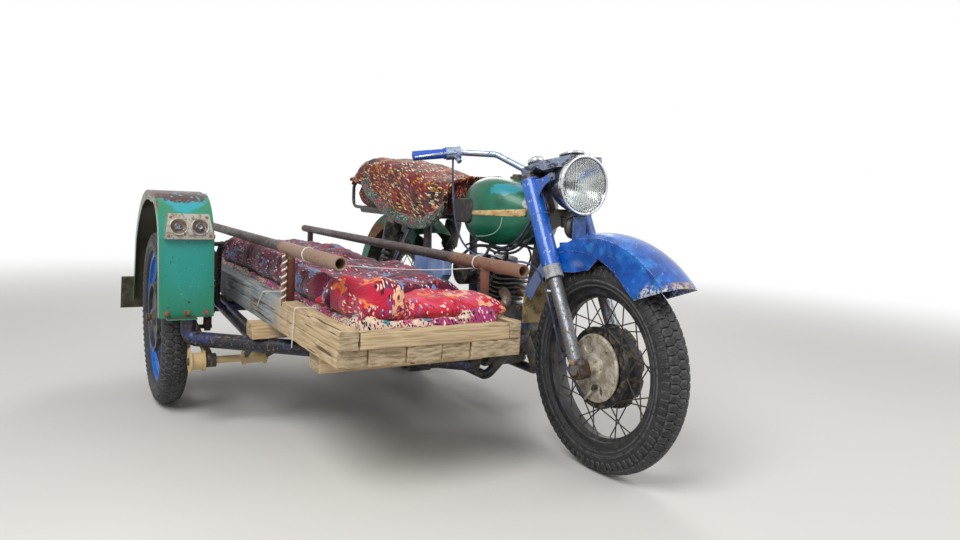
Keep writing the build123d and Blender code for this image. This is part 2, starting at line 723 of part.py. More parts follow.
def front_mudguard():
    """Valanced guard whose skirt deepens to the front, notched for the legs, with its bridge."""
    guard = guard_arch(guard_section(GUARD_R, GUARD_HALF_W, GUARD_DEEP_R), GUARD_FRONT, GUARD_REAR)
    wide = 2 * GUARD_HALF_W + 20
    lip = Pos(LIP_CENTRE[0], 0, LIP_CENTRE[1]) * Rot(90, 0, 0) * Cylinder(LIP_R, wide)
    lip &= box_between((LEG_LINE_X, -wide, -500), (500, wide, 500))
    rear_lip = Rot(90, 0, 0) * Cylinder(REAR_LIP_R, wide)
    rear_lip &= box_between((-500, -wide, -500), (LEG_LINE_X, wide, 500))
    guard = guard - lip - rear_lip
    bridge = polygon(
        [(-168, 275.5), (-174, 367.5), (-70, 377.5), (12, 367.5), (8, 329.5), (-28, 295.5), (-100, 280.5)]
    )
    for name, side in SIDES:
        inner = side * (GUARD_HALF_W - SHEET - 3)
        outer = side * (GUARD_HALF_W - SHEET + 0.5)
        guard += side_profile(bridge, min(inner, outer), max(inner, outer))
    guard += box_between((-160, -26, 367.5), (-156, 26, 449.5))
    guard = Pos(*FRONT_AXLE) * guard
    for diameter, low, high in ((COLLAR_D, SLIDER_TOP, COLLAR_TOP), (SHROUD_D, COLLAR_TOP, YOKE_LOW)):
        for post in leg_posts(diameter + 2 * SEAT_GAP, low - 1, high):
            guard -= FORK * post
    return guard


def front_mud_flap(guard):
    """Rubber flap below the rear end of the front guard, on a tab that reaches up inside it."""
    blade = side_profile(polygon([(-360, 181.5), (-353, 181.5), (-357, 75.5), (-364, 75.5)]), -60, 60)
    tab = side_profile(polygon([(-366, 176.5), (-353, 176.5), (-324, 222.5), (-342, 229.5)]), -26, 26)
    tab &= guard_core(GUARD_R - SHEET, GUARD_HALF_W - SHEET)
    return Pos(*FRONT_AXLE) * (blade + tab) - guard


# Motorcycle frame and running gear


def head_point(height):
    """Point on the steering axis."""
    return tuple(FORK.from_local_coords(Vector(0, 0, height)))


def spine_tube(clearance):
    """Backbone from the head tube to the rear cross tube, made larger to cut its way free."""
    return rod(head_point(604), (REAR_CROSS_X, 0, RAIL_Z), BACKBONE_D + 2 * clearance)


def down_tube(clearance):
    """Front down tube, made larger to cut its way free."""
    return rod(head_point(590), DOWN_TUBE_FOOT, DOWN_TUBE_D + 2 * clearance)


def main_frame():
    """Welded frame: head tube, backbone, down tube, cradle, seat rails and lugs."""
    head_low, head_top = YOKE_LOW + YOKE_T + 0.5, YOKE_TOP - 0.5
    head = FORK * Pos(0, 0, head_low) * Cylinder(HEAD_TUBE_D / 2, head_top - head_low, align=BOTTOM)
    frame = head + spine_tube(0) + down_tube(0)
    for name, side in SIDES:
        y = side * CRADLE_Y
        frame += bent_rod(
            [
                (DOWN_TUBE_FOOT[0], side * 8, DOWN_TUBE_FOOT[2]),
                (905, y, CRADLE_Z),
                (462, y, CRADLE_Z),
                (PIVOT_X, y, PIVOT_Z + 10),
                (REAR_CROSS_X, y, RAIL_Z),
                (RAIL_END_X, y, RAIL_Z),
            ],
            CRADLE_D,
            [34, 40, 60, 50],
        )
        frame += cross_rod(SHOCK_TOP[0], y, side * SHOCK_STUD_Y, SHOCK_TOP[1], SHOCK_STUD_D)
        frame += cross_rod(STAND_X, y, side * STAND_STUD_Y, STAND_Z, STAND_PIN_D)
    for x, z in ((REAR_CROSS_X, RAIL_Z), (RAIL_END_X + 6, RAIL_Z), (480, CRADLE_Z)):
        frame += cross_rod(x, -CRADLE_Y, CRADLE_Y, z, 26)
    frame += cross_rod(PIVOT_X, -CRADLE_Y - 20, CRADLE_Y + 20, PIVOT_Z, PIVOT_BOLT_D)
    frame += cross_rod(PEG_X, -PEG_END_Y, PEG_END_Y, PEG_Z, 20)
    for name, side in SIDES:
        frame += cross_rod(PEG_X, side * (PEG_END_Y - 90), side * (PEG_END_Y - 6), PEG_Z, 30)
        frame += rod((PEG_X, side * CRADLE_Y, PEG_Z), (PEG_X, side * CRADLE_Y, CRADLE_Z), 16)
    frame -= FORK * Pos(0, 0, head_low - 40) * Cylinder(
        STEM_D / 2 + PIN_GAP, head_top - head_low + 80, align=BOTTOM
    )
    for low, high in ((head_low - 60, head_low), (head_top, head_top + 60)):
        frame -= FORK * Pos(0, 0, low) * Cylinder(HEAD_TUBE_D, high - low, align=BOTTOM)
    return frame


TANK_SECTIONS = (
    # x, half width, bottom z, top z, corner radius
    (655.0, 86.0, 708.0, 866.0, 58.0),
    (765.0, 142.0, 666.0, 884.0, 70.0),
    (905.0, 150.0, 656.0, 889.0, 74.0),
    (985.0, 110.0, 672.0, 858.0, 62.0),
    (1046.0, 56.0, 708.0, 826.0, 48.0),
)


def fuel_tank(tubes):
    """Teardrop tank lofted through five sections, with the tunnel over the backbone."""
    sections = []
    for x, half, low, high, corner in TANK_SECTIONS:
        plane = Plane(origin=(x, 0, (low + high) / 2), x_dir=(0, 1, 0), z_dir=(1, 0, 0))
        sections.append(plane * RectangleRounded(2 * half, high - low, corner))
    tank = loft(sections)
    tunnel = polygon([(640, 640), (1060, 640), (1060, 812), (640, 768)])
    tank -= side_profile(tunnel, -TUNNEL_HALF, TUNNEL_HALF)
    tank -= FORK * Pos(0, 0, 400) * Cylinder(HEAD_TUBE_D / 2 + 4, 300, align=BOTTOM)
    tank -= FORK * Pos(0, 0, YOKE_TOP + 8) * Cylinder(52, 100, align=BOTTOM)
    for tube in tubes:
        tank -= tube
    return tank


def tank_cap(tank):
    """Filler cap with a knurled skirt."""
    cap = Pos(885, 0, 870) * Cylinder(30, 30, align=BOTTOM)
    cap += Pos(885, 0, 900) * Cylinder(22, 8, align=BOTTOM)
    return cap - tank


def knee_pad(side, tank):
    """Rubber knee pad moulded to the tank's flank."""
    face = Plane.XZ * (Pos(770, 771) * RectangleRounded(128, 88, 26))
    pad = Pos(0, -100, 0) * extrude(face, amount=62)
    pad = fillet(pad.faces().sort_by(Axis.Y)[0].edges(), 6)
    pad = pad - tank
    pad = pad.solids().sort_by(Axis.Y)[0]
    return pad if side < 0 else mirrored(pad)


SEAT_BASE = 754.3
SEAT_TOP = 866.0
SEAT_FRONT_X = 654.6


def seat(frame):
    """Two-person saddle: foam on a pan, narrowed to the tank."""
    side_face = make_face(
        [
            Line((-346, SEAT_BASE), (SEAT_FRONT_X, SEAT_BASE)),
            Line((SEAT_FRONT_X, SEAT_BASE), (SEAT_FRONT_X, 828)),
            ThreePointArc((SEAT_FRONT_X, 828), (630, 856), (580, SEAT_TOP)),
            Line((580, SEAT_TOP), (-300, SEAT_TOP)),
            ThreePointArc((-300, SEAT_TOP), (-335, 850), (-346, 818)),
            Line((-346, 818), (-346, SEAT_BASE)),
        ]
    )
    body = side_profile(side_face, -130, 130)
    plan = [(-346, -118), (-300, -128), (360, -128), (560, -108), (SEAT_FRONT_X, -96)]
    plan += [(x, -y) for x, y in plan[::-1]]
    body &= Pos(0, 0, 700) * extrude(polygon(plan), amount=300)
    return body - frame


def seat_blanket():
    """Folded blanket on the rear of the seat, its cover over the front and the right corner."""
    low = SEAT_TOP + SEAT_GAP
    fold = Pos(8, -4, low) * Box(700, 316, 104, align=BOTTOM)
    fold = fillet(fold.edges().filter_by(Axis.Z), 60)
    fold = fillet(fold.faces().sort_by(Axis.Z)[-1].edges(), 36)
    cover = box_between((330, -148, low), (572, 128, low + 18))
    drape = side_profile(
        polygon([(296, low + 12), (568, low + 12), (590, 740), (500, 690), (420, 692)]), -149, -131
    )
    return fold + cover + drape


def rear_rack():
    """Grab rail: one tube along both seat rails with a hoop behind the seat."""
    y = CRADLE_Y + CRADLE_D / 2 + RACK_D / 2 + SEAT_GAP
    corner = (
        (RACK_FRONT_X, RAIL_Z),
        (RACK_REAR_X, RAIL_Z + 12),
        (RACK_REAR_X, 876),
    )
    points = [(x, -y, z) for x, z in corner] + [(x, y, z) for x, z in corner[::-1]]
    return bent_rod(points, RACK_D, [40, 40, 40, 40])


def rear_mudguard(frame):
    """Deep rear guard bolted between the seat rails."""
    section = guard_section(REAR_GUARD_R, REAR_GUARD_HALF_W, REAR_GUARD_R - REAR_SKIRT)
    guard = Pos(*REAR_AXLE) * guard_arch(section, 52, 193)
    for name, side in SIDES:
        low, high = sorted((side * (REAR_GUARD_HALF_W - 1), side * (CRADLE_Y - 8)))
        guard += box_between((-14, low, 690), (14, high, RAIL_Z - 4))
    return guard - frame


def tail_lamp():
    """Round rear lamp seated on the crown of the rear guard."""
    body = rod((-340, 0, 543), (-446, 0, 565), 74) + rod((-446, 0, 565), (-460, 0, 568), 62)
    return body - Pos(*REAR_AXLE) * guard_core(REAR_GUARD_R, REAR_GUARD_HALF_W)


def swingarm():
    """Rear fork: pivot barrel, two arms, axle eyes, shock studs and the brake plate."""
    barrel = cross_rod(PIVOT_X, -CRADLE_Y + 20, CRADLE_Y - 20, PIVOT_Z, 48)
    arm = barrel
    for name, side in SIDES:
        arm += bent_rod(
            [(PIVOT_X - 20, side * 66, PIVOT_Z - 1), (300, side * ARM_Y, AXLE_Z + 20.5), (0, side * ARM_Y, AXLE_Z)],
            34,
            30,
        )
        arm += cross_rod(0, side * ARM_IN_Y, side * ARM_OUT_Y, AXLE_Z, 50)
        arm += cross_rod(SHOCK_FOOT[0], side * ARM_Y, side * SHOCK_STUD_Y, SHOCK_FOOT[1], SHOCK_STUD_D)
        arm -= cross_rod(0, side * (ARM_IN_Y - 10), side * (ARM_OUT_Y + 10), AXLE_Z, AXLE_D + 2 * PIN_GAP)
    arm -= cross_rod(PIVOT_X, -CRADLE_Y, CRADLE_Y, PIVOT_Z, PIVOT_BOLT_D + 2 * PIN_GAP)
    return arm + Pos(*REAR_AXLE) * brake_plate(-ARM_IN_Y)


def rear_axle():
    """Spindle of the rear wheel with its nuts and the spacers on the chain side."""
    axle = cross_rod(0, -ARM_OUT_Y - 8, ARM_OUT_Y + 8, AXLE_Z, AXLE_D)
    for name, side in SIDES:
        axle += cross_rod(0, side * ARM_OUT_Y, side * (ARM_OUT_Y + 12), AXLE_Z, 31)
    axle += cross_rod(0, CHAIN_Y + CHAIN_CASE_HALF, ARM_IN_Y, AXLE_Z, 32)
    return axle


def shock(foot, top, body_d, coil_d, shroud_d, eye_w, bore_d):
    """Spring damper between two eyes: corrugated like its coil below, shrouded above."""
    foot, top = Vector(*foot), Vector(*top)
    run = top - foot
    length = run.length
    frame = Plane(origin=foot, x_dir=(0, 1, 0), z_dir=run)
    coil_low, coil_high = length * 0.2, length * 0.64
    outline = [(0, 8), (body_d / 2, 8), (body_d / 2, coil_low - 14), (coil_d / 2 + 3, coil_low - 8)]
    outline.append((coil_d / 2 + 3, coil_low))
    turns = 7
    pitch = (coil_high - coil_low) / turns
    for index in range(turns):
        z = coil_low + index * pitch
        outline += [(coil_d / 2 - 9, z + pitch * 0.1), (coil_d / 2 - 9, z + pitch * 0.4)]
        outline += [(coil_d / 2, z + pitch * 0.55), (coil_d / 2, z + pitch * 0.8)]
    outline += [(coil_d / 2 - 9, coil_high), (shroud_d / 2, coil_high), (shroud_d / 2, length - 36)]
    outline += [(shroud_d / 2 - 12, length - 22), (14, length - 12), (0, length - 12)]
    body = revolve(polygon(outline), Axis.Y)
    body = Rot(90, 0, 0) * body
    for z in (0, length):
        body += Pos(0, 0, z) * Rot(0, 90, 0) * Cylinder(bore_d / 2 + 9, eye_w)
    for z in (0, length):
        body -= Pos(0, 0, z) * Rot(0, 90, 0) * Cylinder(bore_d / 2 + PIN_GAP, eye_w + 4)
    return frame * body


def rear_shock(side):
    """One rear spring damper."""
    y = side * SHOCK_Y
    return shock(
        (SHOCK_FOOT[0], y, SHOCK_FOOT[1]), (SHOCK_TOP[0], y, SHOCK_TOP[1]), 42, 62, 76, 32, SHOCK_STUD_D
    )


def engine():
    """Crankcase and gearbox in one casting with round covers on both sides."""
    case = polygon(
        [
            (562, 232),
            (562, 392),
            (600, 428),
            (720, 436),
            (880, 430),
            (896, 340),
            (876, 240),
            (840, CASE_BOTTOM),
            (600, CASE_BOTTOM),
        ]
    )
    body = side_profile(case, -80, 80)
    left = polygon([(560, 250), (640, 226), (830, 226), (884, 262), (884, 342), (830, 384), (640, 396)])
    left = fillet(left.vertices(), 30)
    body += side_profile(left, 70, 140)
    generator = cross_rod(812, -138, -70, 300, 160)
    gearbox = cross_rod(660, -118, -70, 310, 170)
    body += generator + gearbox
    body = body.clean()
    shaft = cross_rod(640, 130, 166, 268, 18)
    pedal = bent_rod([(640, 159, 268), (700, 164, 284), (784, 166, 290)], 11, 20)
    toe = cross_rod(784, 158, 214, 290, 16)
    return body + shaft + pedal + toe


CYLINDER_LEAN = 8.0
CYLINDER_FOOT = (806.0, 0.0, 434.0)
FIN_COUNT = 9
FIN_PITCH = 17.0
FIN_T = 4.0


def cylinder(case):
    """Air-cooled barrel and head: a core with a stack of square fins and the plug."""
    core = Cylinder(44, 40 + FIN_COUNT * FIN_PITCH, align=BOTTOM)
    for index in range(FIN_COUNT):
        size = 150 if 1 < index < FIN_COUNT - 1 else 132
        fin = Pos(0, 0, 26 + index * FIN_PITCH) * extrude(RectangleRounded(size, size, 26), amount=FIN_T)
        core += fin
    core += Pos(0, 0, 40 + FIN_COUNT * FIN_PITCH) * Cylinder(9, 18, align=BOTTOM)
    lean = Plane(origin=CYLINDER_FOOT) * Rot(0, CYLINDER_LEAN, 0)
    return lean * Pos(0, 0, -20) * core - case


def carburettor(barrel):
    """Inlet stub, carburettor body, float bowl and the drum of the air filter."""
    body = rod((780, 0, 520), (640, 0, 530), 44)
    body += cross_rod(600, -62, 62, 535, 118)
    body += Pos(700, 0, 470) * Cylinder(27, 120, align=BOTTOM)
    body += Pos(700, 0, 590) * Cylinder(15, 14, align=BOTTOM)
    return body - barrel


def exhaust(side, barrel):
    """Down pipe and long silencer of one side."""
    y = side * MUFFLER_Y
    pipe = bent_rod(
        [(868, side * 34, 486), (962, side * 72, 470), (974, side * 150, 330), (930, y, 240), (600, y, 236)],
        38,
        [34, 60, 40],
    )
    face = polygon(
        [(0, 0), (20, 0), (39, 60), (40, 800), (30, 880), (18, 950), (16, 950), (26, 878), (0, 860)]
    )
    can = Pos(620, y, 236) * Rot(0, 0, 90) * revolve(face, Axis.Y)
    clip = box_between((100, min(y, side * 150), 272), (124, max(y, side * 150), 278))
    return pipe + can + clip - barrel


def side_panel(side):
    """Pressed tool-box panel against the frame."""
    inner = CRADLE_Y + CRADLE_D / 2 + SEAT_GAP
    outline = [(396, 412), (396, 583), (646, 583), (650, 520), (612, 480), (560, 430), (520, 412)]
    face = polygon(outline)
    low, high = sorted((side * inner, side * (inner + 38)))
    panel = side_profile(face, low, high)
    rim_face = panel.faces().sort_by(Axis.Y)[-1 if side > 0 else 0]
    return fillet(rim_face.edges(), 8)


def chain_case(case):
    """Enclosed final drive: sprocket drum at the wheel and two rubber-sheathed runs."""
    drum = cross_rod(0, CHAIN_Y - CHAIN_CASE_HALF, CHAIN_Y + CHAIN_CASE_HALF, AXLE_Z, 190)
    runs = rod((40, CHAIN_Y, 404), (600, CHAIN_Y, 404), 26)
    runs += rod((40, CHAIN_Y, 241), (600, CHAIN_Y, 292), 26)
    bore = cross_rod(0, 0, 100, AXLE_Z, AXLE_D + 2 * PIN_GAP)
    return drum + runs - bore - case


def centre_stand():
    """Folded stand: two legs on the cradle's pins and the foot bar."""
    stand = None
    for name, side in SIDES:
        y = side * STAND_Y
        eye = cross_rod(STAND_X, y - 9, y + 9, STAND_Z, 30)
        leg = rod((STAND_X, y, STAND_Z), (STAND_X - STAND_LEG, y, STAND_Z), 18)
        stand = eye + leg if stand is None else stand + eye + leg
    stand += cross_rod(STAND_X - STAND_LEG, -STAND_Y, STAND_Y, STAND_Z, 18)
    for name, side in SIDES:
        y = side * STAND_Y
        stand -= cross_rod(STAND_X, y - 12, y + 12, STAND_Z, STAND_PIN_D + 2 * PIN_GAP)
    return stand


# Sidecar chassis


def sidecar_frame(frame):
    """Welded tube frame: diagonal front tube, side, inner and rear tubes and the mounts."""
    low = SC_TUBE_Z
    nose = (SC_NOSE_X, SC_INNER_Y, low)
    tube = bent_rod(
        [(SC_STUB_X, SC_STUB_Y, GUARD_FLANGE_Z - SEAT_GAP), (SC_STUB_X, SC_STUB_Y, low), nose],
        SC_TUBE_D,
        [30],
    )
    tube += rod(nose, (SC_REAR_X, SC_INNER_Y, low), SC_TUBE_D)
    tube += Pos(*nose) * Sphere(SC_TUBE_D / 2)
    tube += rod((SC_SIDE_JOINT_X, SC_SIDE_Y, low), (SC_REAR_X - 40, SC_SIDE_Y, SC_SIDE_REAR_Z), SC_TUBE_D)
    tube += rod((SC_REAR_X, SC_INNER_Y, low), (SC_REAR_X, SC_SIDE_Y - 10, low), SC_TUBE_D)
    tube += rod((SC_REAR_X, SC_SIDE_Y, low), (SC_REAR_X, SC_SIDE_Y, SC_SIDE_REAR_Z - 6), 40)
    tube += rod((SC_LINK_X, SC_INNER_Y, low), (DOWN_TUBE_FOOT[0] + 8, -6, DOWN_TUBE_FOOT[2] - 2), 36)
    tube += rod((PIVOT_X, SC_INNER_Y, low), (PIVOT_X, -CRADLE_Y - 6, PIVOT_Z), 36)
    tube += rod((300, SC_INNER_Y + 22, low + 6), (300, -CRADLE_Y - 6, RAIL_Z - 4), 22)
    outer, inner = SC_OUTER_BARREL_Y, SC_INNER_BARREL_Y
    for middle, y_from, y_to, diameter in ((outer, -24, -18, 76), (outer, -18, 18, 56), (outer, 18, 24, 70),
                                           (inner, -39, -31, 50), (inner, -31, 33, 40), (inner, 33, 39, 50)):
        tube += cross_rod(SC_PIVOT_X, middle + y_from, middle + y_to, SC_PIVOT_Z, diameter)
    for y, thickness in ((outer - 21, 6), (outer + 21, 6), (inner - 35, 8), (inner + 36, 6)):
        x_top = SC_STUB_X + (SC_NOSE_X - SC_STUB_X) * (SC_STUB_Y - y) / (SC_STUB_Y - SC_INNER_Y)
        lug = polygon([(SC_PIVOT_X - 22, SC_PIVOT_Z), (SC_PIVOT_X + 22, SC_PIVOT_Z), (x_top + 20, low - 6),
                       (x_top - 20, low - 6)])
        tube += side_profile(lug, y - thickness / 2, y + thickness / 2)
    tube -= cross_rod(SC_PIVOT_X, outer - 38, inner + 55, SC_PIVOT_Z, SC_SHAFT_D + 2 * PIN_GAP)
    tower_foot = (SC_TOWER_X, SC_SIDE_Y, 336)
    tube += bent_rod([tower_foot, (SC_TOWER_X, SC_TOWER_Y, 372), (SC_TOWER_X + 34, SC_TOWER_Y, 560),
                      (SC_SHOCK_TOP[0], SC_TOWER_Y, SC_SHOCK_TOP[2])], 24, [24, 50])
    tube += cross_rod(SC_SHOCK_TOP[0], SC_TOWER_Y + 2, SC_SHOCK_Y - 14, SC_SHOCK_TOP[2], 16)
    tube += bent_rod([(60, SC_SIDE_Y - 8, 344), (60, SC_SIDE_Y - 55, 430), (60, -GUARD_INNER - 2, 700)], 20, [40])
    return tube - frame


def sidecar_arm():
    """Wheel arm on its pivot shaft, with the stub axle, the shock lug and the brake plate."""
    arm = cross_rod(SC_PIVOT_X, SC_OUTER_BARREL_Y - 30, SC_INNER_BARREL_Y + 45, SC_PIVOT_Z, SC_SHAFT_D)
    root = (SC_PIVOT_X, SC_ARM_Y, SC_PIVOT_Z)
    arm += cross_rod(SC_PIVOT_X, SC_ARM_Y - 16, SC_ARM_Y + 16, SC_PIVOT_Z, 46)
    hub_y = -TRACK + ARM_IN_Y - 8
    arm += rod(root, (SIDECAR_LEAD, hub_y + 12, AXLE_Z), 28)
    arm += cross_rod(SIDECAR_LEAD, hub_y, hub_y + 26, AXLE_Z, 44)
    arm += cross_rod(SC_SHOCK_FOOT[0], SC_ARM_Y, SC_SHOCK_Y + 16, SC_SHOCK_FOOT[2], 16)
    arm += cross_rod(SIDECAR_LEAD, hub_y + 20, -TRACK - 56, AXLE_Z, AXLE_D)
    hub_end = HUB_MOUTH_Y + HUB_W + 4 + TURN_GAP
    arm += cross_rod(SIDECAR_LEAD, -TRACK - hub_end, -TRACK - hub_end - 12, AXLE_Z, 31)
    plate = Rot(0, 0, 180) * brake_plate(-(hub_y + TRACK))
    return arm + Pos(*SIDECAR_AXLE) * plate


def sidecar_shock():
    """Spring damper of the sidecar wheel with its ball cap."""
    body = shock(SC_SHOCK_FOOT, SC_SHOCK_TOP, 30, 44, 52, 20, 16)
    ball = Vector(*SC_SHOCK_TOP) + Vector(0, 0, 27)
    return body + Pos(*ball) * Sphere(17)


def arch_region(inset):
    """Region under the sidecar guard's top line, moved in by an inset."""
    face = make_face(
        [
            Line((506, 100), (512, 640)),
            ThreePointArc((512, 640), (455, 742), (310, 787)),
            ThreePointArc((310, 787), (10, 752), SC_GUARD_BACK[0]),
            Line(*SC_GUARD_BACK),
            Line(SC_GUARD_BACK[1], (-400, 100)),
            Line((-400, 100), (506, 100)),
        ]
    )
    return offset(face, amount=-inset) if inset else face


def sidecar_mudguard():
    """Channel guard with flat front, lipped sides and the flange on the frame stub."""
    outer = side_profile(arch_region(0), -GUARD_OUTER, -GUARD_INNER)
    inner = side_profile(arch_region(SHEET), -GUARD_OUTER + SHEET, -GUARD_INNER - SHEET)
    mouth = side_profile(arch_region(GUARD_LIP), -GUARD_OUTER - 5, -GUARD_INNER + 5)
    guard = outer - inner - mouth
    guard &= box_between((-420, -GUARD_OUTER - 10, 320), (540, -GUARD_INNER + 10, 820))
    guard -= box_between((440, -GUARD_OUTER - 10, 200), (540, -GUARD_INNER + 10, GUARD_FLANGE_Z))
    flange = box_between((SC_STUB_X - 28, -GUARD_OUTER + 20, GUARD_FLANGE_Z),
                         (511, -GUARD_INNER - 20, GUARD_FLANGE_Z + 4))
    flange += box_between((500, -GUARD_OUTER + 20, GUARD_FLANGE_Z),
                          (SC_STUB_X + 26, -GUARD_INNER - 60, GUARD_FLANGE_Z + 4))
    return guard + flange


def sidecar_mud_flap():
    """Rubber flap bolted flat on the rear end of the sidecar guard."""
    top, foot = Vector(*SC_GUARD_BACK[0]), Vector(*SC_GUARD_BACK[1])
    along = (foot - top).normalized()
    out = Vector(along.Y, -along.X)
    start, end = top + along * 185, top + along * 336
    corners = (start, end, end + out * 6, start + out * 6)
    return side_profile(polygon([(c.X, c.Y) for c in corners]), -GUARD_OUTER - 46, -GUARD_INNER - 4)


def sidecar_lamp_plate(guard):
    """Cast lamp housing on the front of the guard with two round sockets."""
    middle = GUARD_MIDDLE_Y
    outline = [(middle - 72, 640), (middle + 82, 640), (middle + 68, 722), (middle - 58, 722)]
    face = Plane(origin=(470, 0, 0), x_dir=(0, 1, 0), z_dir=(1, 0, 0)) * polygon(outline)
    body = extrude(face, amount=62)
    solid_guard = side_profile(arch_region(0), -GUARD_OUTER, -GUARD_INNER)
    body -= solid_guard
    lean = Pos(538, middle, 640) * Rot(0, -14, 0) * Box(80, 400, 400, align=(Align.MIN, Align.CENTER, Align.CENTER))
    body -= lean
    for y in (middle - 28, middle + 38):
        socket = Plane(origin=(530, y, 681), z_dir=(-0.97, 0, -0.24)) * Cylinder(25, 24)
        hole = Plane(origin=(520, y, 681), z_dir=(-0.97, 0, -0.24)) * Cylinder(8, 40)
        body -= socket
        body -= hole
    return body


# Wooden load bed


def bed_floor():
    """Lengthwise planks of unequal width, side by side."""
    planks = []
    y = BED_RIGHT_Y
    for width, trim in zip(PLANK_WIDTHS, PLANK_TRIMS):
        plank = box_between((BED_REAR_X + trim / 2, y, FLOOR_BOTTOM), (BED_FRONT_X - trim, y + width, FLOOR_TOP))
        planks.append(plank)
        y += width + PLANK_GAP
    return Compound(children=planks)


def bed_bearers():
    """Cross timbers between the sidecar frame and the floor."""
    bearers = []
    for x, width, overhang in BEARERS:
        bearers.append(
            box_between(
                (x - width / 2, BED_RIGHT_Y - overhang, BEARER_BOTTOM),
                (x + width / 2, BED_LEFT_Y - 12, FLOOR_BOTTOM),
            )
        )
    return Compound(children=bearers)


def bed_border():
    """Beams along both sides with the front and rear boards between them."""
    right = box_between((BED_REAR_X, BED_RIGHT_Y, FLOOR_TOP), (BED_FRONT_X, BED_RIGHT_Y + BEAM_RIGHT_W, BORDER_TOP))
    left = box_between((BED_REAR_X, BED_LEFT_Y - BEAM_LEFT_W, FLOOR_TOP), (BED_FRONT_X, BED_LEFT_Y, BORDER_TOP))
    low, high = BED_RIGHT_Y + BEAM_RIGHT_W, BED_LEFT_Y - BEAM_LEFT_W
    front = box_between((BED_FRONT_X - FRONT_BOARD_T, low, FLOOR_TOP), (BED_FRONT_X, high, BORDER_TOP - 4))
    rear = box_between((BED_REAR_X, low, FLOOR_TOP), (BED_REAR_X + FRONT_BOARD_T, high, BORDER_TOP - 4))
    return right + left + front + rear


def bed_rail(y, clear, rear_x, front_x, sleeve_x, post_x):
    """Pipe rail with a wider sleeve pipe at its front end and two posts on the border."""
    z = BORDER_TOP + clear + RAIL_D / 2
    rail = rod((rear_x, y, z), (sleeve_x, y, z), RAIL_D) + rod((sleeve_x, y, z), (front_x, y, z), RAIL_SLEEVE_D)
    for x in post_x:
        rail += rod((x, y, BORDER_TOP), (x, y, z), RAIL_POST_D)
    bore = RAIL_D - 2 * RAIL_WALL
    for end, way in ((front_x, -1), (rear_x, 1)):
        rail -= rod((end, y, z), (end + way * RAIL_BORE_DEPTH, y, z), bore)
    return rail


def quilt_lower():
    """Folded underlay inside the border."""
    low = FLOOR_TOP + SEAT_GAP
    y_low, y_high = BED_RIGHT_Y + BEAM_RIGHT_W + 3, BED_LEFT_Y - BEAM_LEFT_W - 3
    pad = box_between((BED_REAR_X + 40, y_low, low), (BED_FRONT_X - FRONT_BOARD_T - 3, y_high, BORDER_TOP + 14))
    return fillet(pad.edges().filter_by(Axis.Z), 16)


def quilt_upper():
    """Heaped quilts over the underlay, higher to the rear."""
    low = BORDER_TOP + 14 + SEAT_GAP
    y_low, y_high = RIGHT_RAIL_Y + RAIL_POST_D / 2 + 5, BED_LEFT_Y - BEAM_LEFT_W - 1
    side_face = make_face(
        [
            Line((-420, low), (1262, low)),
            ThreePointArc((1262, low), (1266, low + 28), (1238, low + 48)),
            ThreePointArc((1238, low + 48), (1000, low + 78), (760, low + 70)),
            ThreePointArc((760, low + 70), (400, low + 88), (0, low + 94)),
            Line((0, low + 94), (-380, low + 90)),
            ThreePointArc((-380, low + 90), (-410, low + 74), (-420, low)),
        ]
    )
    heap = side_profile(side_face, y_low, y_high)
    return heap


# Export


